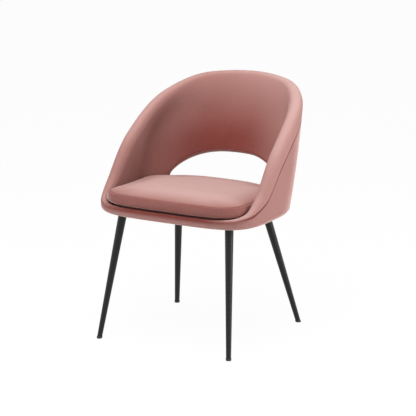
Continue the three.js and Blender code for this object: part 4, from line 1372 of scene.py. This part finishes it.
def velvet_pile(settings):
    """Polyester velvet, woven and sheared: faces looked at squarely are deep, and glancing ones get
    a painted sheen, the tips colour mixed in by the angle to the eye. The lit pile share is painted
    light, blending the deep colour into the lighter, greyer lit colour, and on what looks up into
    the tips colour as a painted highlight. Where the pile is pressed, in the seams, its painted
    sheen doesn't show. The fibres are drawn 1.5 mm across, about six times too coarse, so that they
    show."""
    if "Sheared polyester velvet" in bpy.data.materials:
        return bpy.data.materials["Sheared polyester velvet"]
    material, tree = new_material("Sheared polyester velvet")
    patches = pattern(tree, "Noise", 120 * MM, {"Detail": 2, "Roughness": 0.5, "Distortion": 0.3})
    fibres = pattern(tree, "Noise", 1.5 * MM, {"Detail": 3, "Roughness": 0.7})
    specks = pattern(tree, "Noise", 6 * MM, {"Detail": 4, "Roughness": 0.65})
    grain = add_node(tree, "ShaderNodeMath", {0: fibres, 1: specks}, operation="ADD")
    brushed = add_node(tree, "ShaderNodeAttribute", attribute_name="brushed").outputs["Fac"]
    uneven = add_node(tree, "ShaderNodeMapRange", {
        "Value": patches, "From Min": 0.3, "From Max": 0.7, "To Min": -0.08, "To Max": 0.08})
    # Painted light: the lit pile share, with random patches, blends the deep colour into the lit
    # colour
    lit_with_patches = add_node(
        tree, "ShaderNodeMath", {0: brushed, 1: uneven}, operation="ADD",
        use_clamp=True)
    lit_colour = add_node(tree, "ShaderNodeMix", {
        0: lit_with_patches, 6: settings.colour, 7: settings.brushed}, data_type="RGBA")
    shade = add_node(tree, "ShaderNodeMapRange", {
        "Value": grain, "From Min": 0.7, "From Max": 1.3,
        "To Min": 0.87, "To Max": 1.13})
    deep = add_node(tree, "ShaderNodeVectorMath", {
        0: lit_colour.outputs[2], "Scale": shade}, operation="SCALE")
    # Painted sheen: the tips colour comes in as a face turns away from the eye, save where the pile
    # is pressed
    facing = add_node(tree, "ShaderNodeLayerWeight", {"Blend": 0.5}).outputs["Facing"]
    tips = add_node(tree, "ShaderNodeMath", {0: facing, 1: TIPS_FALL}, operation="POWER")
    pressed = add_node(tree, "ShaderNodeAttribute", attribute_name="pressed").outputs["Fac"]
    upright = add_node(tree, "ShaderNodeMath", {0: 1, 1: pressed}, operation="SUBTRACT")
    shown = add_node(tree, "ShaderNodeMath", {
        0: tips, 1: upright}, operation="MULTIPLY")
    # Painted highlight: the lit pile share also paints in the tips colour, most on what looks up
    lit_tips = add_node(tree, "ShaderNodeMapRange", {
        "Value": brushed, "From Max": 2, "To Max": TIPS_WHEN_LIT})
    share = add_node(tree, "ShaderNodeMath", {
        0: shown, 1: lit_tips}, operation="MAXIMUM")
    pile = add_node(tree, "ShaderNodeMix", {
        0: share, 6: deep, 7: settings.tips}, data_type="RGBA")
    add_surface(tree, pile.outputs[2], {
        "Roughness": 0.9, "Specular IOR Level": 0.1, "Sheen Weight": 0.08,
        "Sheen Roughness": 0.5, "Sheen Tint": settings.bloom}, grain, 0.3, 0.3 * MM)
    return material


def sewing_thread(settings):
    """Bonded polyester thread, twisted: a shade deeper than the pile, with a slight gloss."""
    strands = ("Wave", 1.2 * MM, {"Distortion": 1.5, "Detail": 1})
    return two_toned(
        "Twisted polyester thread", shades(settings.brushed, 0.75, 0.95), strands,
        {"Roughness": 0.55, "Sheen Weight": 0.3}, relief=strands, bumps=(0.4, 0.1 * MM))


def powder_coated_steel(settings):
    """Mild steel, sprayed with satin powder and baked: near black with a green cast, a broad soft
    highlight and a fine orange peel, drawn 1.2 mm across."""
    return two_toned(
        "Satin powder-coated steel", shades(settings.steel, 0.85, 1.2),
        ("Noise", 30 * MM, {"Detail": 4}), {"Specular IOR Level": 0.3}, gloss=(0.36, 0.5),
        relief=("Noise", 1.2 * MM, {"Detail": 2}), bumps=(0.25, 0.05 * MM))


def zinc_plated_steel():
    """Steel fasteners, zinc plated and passivated: grey metal with faint blue clouds."""
    return two_toned(
        "Zinc-plated steel", (linear("#B9BDC2"), linear("#A9B2BF")),
        ("Noise", 4 * MM, {"Detail": 4}), {"Metallic": 1.0}, gloss=(0.28, 0.45))


def blackened_bolt_steel():
    """Steel bolts, blackened and oiled: dark metal with a dull sheen and paler worn specks."""
    return two_toned(
        "Blackened bolt steel", (linear("#1C1D1C"), linear("#3A3B39")),
        ("Noise", 2.5 * MM, {"Detail": 5}), {"Roughness": 0.42, "Metallic": 0.9},
        spread=(0.58, 0.75))


def moulded_polypropylene(name, colour, grain):
    """Polypropylene, injection moulded in a spark-eroded mould: black, matt and finely grained,
    with the grain drawn about twice as coarse as it is."""
    return two_toned(
        name, shades(linear(colour), 0.8, 1.25), ("Noise", 18 * MM, {"Detail": 3}),
        {"Roughness": 0.55, "IOR": 1.49}, relief=("Voronoi", grain, {}), bumps=(0.3, 0.06 * MM))


def birch_plywood():
    """Birch plywood, sanded: pale faces with long grain, and veneers 1.4 mm thick in the edge,
    alternately pale and darker end grain."""
    veneer = 1.4 * MM
    material, tree = new_material("Sanded birch plywood")
    places = add_node(tree, "ShaderNodeTexCoord").outputs["Object"]
    height = add_node(tree, "ShaderNodeSeparateXYZ", {0: places}).outputs["Z"]
    stretched = add_node(tree, "ShaderNodeMapping", {"Vector": places, "Scale": (1, 0.08, 1)})
    grain = pattern(
        tree, "Noise", 5 * MM, {"Detail": 6, "Roughness": 0.6, "Distortion": 0.4},
        stretched)
    layer = add_node(
        tree, "ShaderNodeMath", {0: height, 1: math.pi / veneer}, operation="MULTIPLY")
    wave = add_node(tree, "ShaderNodeMath", {0: layer}, operation="SINE")
    ply = add_node(tree, "ShaderNodeMapRange", {
        "Value": wave, "From Min": -0.3, "From Max": 0.3})
    share = add_node(tree, "ShaderNodeMath", {0: ply, 1: grain}, operation="MULTIPLY")
    colour = add_node(tree, "ShaderNodeMix", {
        0: share, 6: linear("#D6BC93"), 7: linear("#A9855A")}, data_type="RGBA")
    looks = {"Roughness": 0.62, "IOR": 1.5}
    add_surface(tree, colour.outputs[2], looks, grain, 0.2, 0.1 * MM)
    return material


def cut_foam():
    """Polyurethane foam, dyed dusky pink and cut with a hot blade: matt and full of cells, drawn
    1.5 mm across."""
    cells = ("Voronoi", 1.5 * MM, {})
    return two_toned(
        "Cut polyurethane foam", (linear("#7E4B46"), linear("#A3716B")), cells,
        {"Roughness": 0.95}, relief=cells, bumps=(0.6, 0.5 * MM))


def non_woven_cloth():
    """Spun-bonded polypropylene cloth: thin, black, with pressed dots every 2.5 mm and a felted
    look between them."""
    return two_toned(
        "Spun-bonded black cloth", (linear("#101010"), linear("#2C2B2A")),
        ("Noise", 9 * MM, {"Detail": 6, "Roughness": 0.75}),
        {"Roughness": 0.9, "Sheen Weight": 0.2},
        relief=("Voronoi", 2.5 * MM, {"Randomness": 0.15}), bumps=(0.5, 0.2 * MM))


def seen_by_camera(tree):
    """1 on rays by which the camera sees a thing, straight or in a gloss, and 0 on others."""
    rays = add_node(tree, "ShaderNodeLightPath")
    seen = rays.outputs["Is Camera Ray"]
    for kind in ("Is Glossy Ray", "Is Transmission Ray"):
        either = {0: seen, 1: rays.outputs[kind]}
        seen = add_node(tree, "ShaderNodeMath", either, operation="MAXIMUM")
    return seen


def white_paper():
    """Matt white studio paper, which the camera sees lit evenly, with the chair's shadow on it."""
    material, tree = new_material("Matt studio paper")
    share = add_node(
        tree, "ShaderNodeMath", {0: seen_by_camera(tree), 1: 0.96}, operation="MULTIPLY")
    paper = add_node(tree, "ShaderNodeBsdfDiffuse", {"Color": linear("#F4F4F4")})
    bright = add_node(tree, "ShaderNodeEmission", {"Color": (1, 1, 1, 1), "Strength": 1.0})
    both = add_node(tree, "ShaderNodeMixShader", {
        0: share, 1: paper, 2: bright})
    add_node(tree, "ShaderNodeOutputMaterial", {"Surface": both})
    return material


# Operators, one for each piece or group of like pieces


class ShellCovers(Operator):
    """Makes the velvet covers of the shell"""
    bl_idname = "chair.shell_covers"
    bl_label = "Shell Covers"

    def execute(self, context):
        settings = context.scene.chair_velvet
        velvet = velvet_pile(settings)
        outer = outer_cover(settings, velvet)
        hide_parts("outer_cover", "outer_foam", "lip_foam")
        inner = inner_cover(settings, velvet)
        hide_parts("inner_cover", "inner_foam_left", "inner_foam_right")
        return {"FINISHED"}


class OpeningBand(Operator):
    """Makes the band that lines the half-moon opening"""
    bl_idname = "chair.opening_band"
    bl_label = "Opening Band"

    def execute(self, context):
        settings = context.scene.chair_velvet
        band = opening_band(settings, velvet_pile(settings))
        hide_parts("opening_band")
        return {"FINISHED"}


class SeatPad(Operator):
    """Makes the seat pad, presses it out and stitches it"""
    bl_idname = "chair.seat_pad"
    bl_label = "Seat Pad"

    def execute(self, context):
        velvet = context.scene.chair_velvet
        settings = context.scene.chair_pad
        pad, paths = seat_pad(settings, velvet_pile(velvet))
        thread = sewing_thread(velvet)
        surface = BVHTree.FromObject(pad, context.evaluated_depsgraph_get())
        for i, path in enumerate(paths):
            found = [surface.find_nearest(Vector(point)) for point in path]
            places = [place + normal * STITCH_LIFT for place, normal, _, _ in found]
            facing = [tuple(normal) for _, normal, _, _ in found]
            stitches = repeats_along_path(
                "pad_topstitch_%d" % (i + 1), places, True, settings.stitch_pitch,
                stitch_form(settings.stitch_length, THREAD_RADIUS), thread, facing)
        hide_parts("pad_foam", "pad_top_panel", "pad_boxing", "pad_under_cloth")
        return {"FINISHED"}


class Legs(Operator):
    """Makes the four legs with their caps and plates"""
    bl_idname = "chair.legs"
    bl_label = "Legs"

    def execute(self, context):
        settings = context.scene.chair_frame
        steel = powder_coated_steel(settings)
        plastic = moulded_polypropylene("Moulded foot polypropylene", "#151615", 0.8 * MM)
        for name, foot, top in leg_places():
            tube = leg_tube("leg_steel_" + name, foot, top, settings, steel)
            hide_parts("leg_tube_" + name)
            cap = foot_cap("foot_" + name, foot, top, plastic)
            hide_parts("foot_cap_" + name)
            plate = leg_plate("plate_" + name, foot, top, steel)
            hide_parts("leg_plate_" + name)
        return {"FINISHED"}


class Underside(Operator):
    """Makes the dust cover with its staples, and the foam deck above it"""
    bl_idname = "chair.underside"
    bl_label = "Underside"

    def execute(self, context):
        cloth = dust_cover(non_woven_cloth())
        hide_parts("dust_cover")
        wire = staples(context.scene.chair_frame, zinc_plated_steel())
        deck = deck_foam(cut_foam())
        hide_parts("deck_foam")
        return {"FINISHED"}


class HiddenParts(Operator):
    """Gives the boards, the moulded shell and the fasteners their materials"""
    bl_idname = "chair.hidden_parts"
    bl_label = "Boards and Fasteners"

    def execute(self, context):
        finishes = {
            "seat_board": birch_plywood(),
            "back_shell": moulded_polypropylene("Moulded shell polypropylene", "#232323", 1.6 * MM),
            "leg_bolt": blackened_bolt_steel(),
            "leg_nut_plate": bpy.data.materials["Zinc-plated steel"],
        }
        finishes["pad_board"] = finishes["seat_board"]
        for start in ("shell_screw", "pad_bolt", "pad_tee_nut"):
            finishes[start] = finishes["leg_nut_plate"]
        for name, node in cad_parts.items():
            for start, finish in finishes.items():
                if name.startswith(start):
                    for slot in node.material_slots:
                        slot.material = finish
        return {"FINISHED"}


RIGHT_FILL_SHARE = 0.35
FLOOR_HALF = 14
LAMPS_AIM = Vector((0, 0, 0.45))
CAMERA_PLACE = Vector((3.5369, -6.1116 + SHIFT, 2.1489))
CAMERA_AIM = Vector((0.0157, 0.0184 + SHIFT, 0.4005))


def aimed(name, data, place, aim):
    """A lamp or camera that looks from its place at its aim."""
    holder = add_object(name, data)
    holder.location = place
    holder.rotation_euler = (aim - Vector(place)).to_track_quat("-Z", "Y").to_euler()
    return holder


class Studio(Operator):
    """Sets up the floor, the lamps and the camera"""
    bl_idname = "chair.studio"
    bl_label = "Studio"

    def execute(self, context):
        settings = context.scene.chair_studio
        scene = context.scene
        mesh = bpy.data.meshes.new("studio_floor")
        sides = ((-1, -1), (1, -1), (1, 1), (-1, 1))
        mesh.from_pydata([(x * FLOOR_HALF, y * FLOOR_HALF, 0) for x, y in sides], [], [range(4)])
        mesh.materials.append(white_paper())
        floor = add_object("studio_floor", mesh)
        floor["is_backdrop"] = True

        lamps = (
            ("overhead_softbox", (0.2, -0.7, 2.8), 2.2, settings.key_power),
            ("side_softbox", (3.0, 0.7, 0.9), 1.6, settings.side_power),
            ("right_fill_softbox", (2.6, -2.9, 1.8), 1.8, settings.fill_power * RIGHT_FILL_SHARE),
            ("left_fill_softbox", (-2.2, -2.3, 1.5), 1.8, settings.fill_power),
        )
        for name, place, size, power in lamps:
            lamp = bpy.data.lights.new(name, "AREA")
            lamp.shape = "DISK"
            lamp.size = size
            lamp.energy = power
            aimed(name, lamp, place, LAMPS_AIM)

        world = bpy.data.worlds.new("studio_light")
        scene.world = world
        world.use_nodes = True
        tree = world.node_tree
        tree.nodes.clear()
        even, white = (
            add_node(tree, "ShaderNodeBackground", {"Color": (1, 1, 1, 1), "Strength": strength})
            for strength in (settings.ambient, 1.0))
        both = add_node(tree, "ShaderNodeMixShader", {
            0: seen_by_camera(tree), 1: even, 2: white})
        add_node(tree, "ShaderNodeOutputWorld", {"Surface": both})

        scene.view_settings.view_transform = "Standard"
        camera = bpy.data.cameras.new("photo_camera")
        camera.sensor_width = 36
        camera.lens = settings.lens
        camera.dof.use_dof = False
        camera.clip_end = 60
        scene.camera = aimed("photo_camera", camera, CAMERA_PLACE, CAMERA_AIM)
        return {"FINISHED"}


class ChairPanel(Panel):
    """The chair's pieces and their settings."""
    bl_idname = "VIEW3D_PT_chair"
    bl_label = "Chair"
    bl_space_type = "VIEW_3D"
    bl_region_type = "UI"
    bl_category = "Chair"

    def draw(self, context):
        for maker in MAKERS:
            self.layout.operator(maker.bl_idname)
        for name in SETTINGS:
            group = getattr(context.scene, name)
            box = self.layout.box()
            for key in group.bl_rna.properties.keys():
                if key not in ("name", "rna_type"):
                    box.prop(group, key)


MAKERS = (Studio, ShellCovers, OpeningBand, SeatPad, Legs, Underside, HiddenParts)
SETTINGS = {
    "chair_velvet": VelvetSettings,
    "chair_pad": PadSettings,
    "chair_frame": FrameSettings,
    "chair_studio": StudioSettings,
}


def register():
    for kind in (*SETTINGS.values(), *MAKERS, ChairPanel):
        bpy.utils.register_class(kind)
    for name, kind in SETTINGS.items():
        setattr(bpy.types.Scene, name, PointerProperty(type=kind))


def unregister():
    for name in SETTINGS:
        delattr(bpy.types.Scene, name)
    for kind in (ChairPanel, *reversed(MAKERS), *reversed(list(SETTINGS.values()))):
        bpy.utils.unregister_class(kind)


def main():
    register()
    bpy.ops.chair.studio()
    bpy.ops.chair.shell_covers()
    bpy.ops.chair.opening_band()
    bpy.ops.chair.seat_pad()
    bpy.ops.chair.legs()
    bpy.ops.chair.underside()
    bpy.ops.chair.hidden_parts()
    sizes = {"cad": cad_box, "visual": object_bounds()}
    plain = {name: [[float(v) for v in corner] for corner in box] for name, box in sizes.items()}


if __name__ == "__main__":
    main()
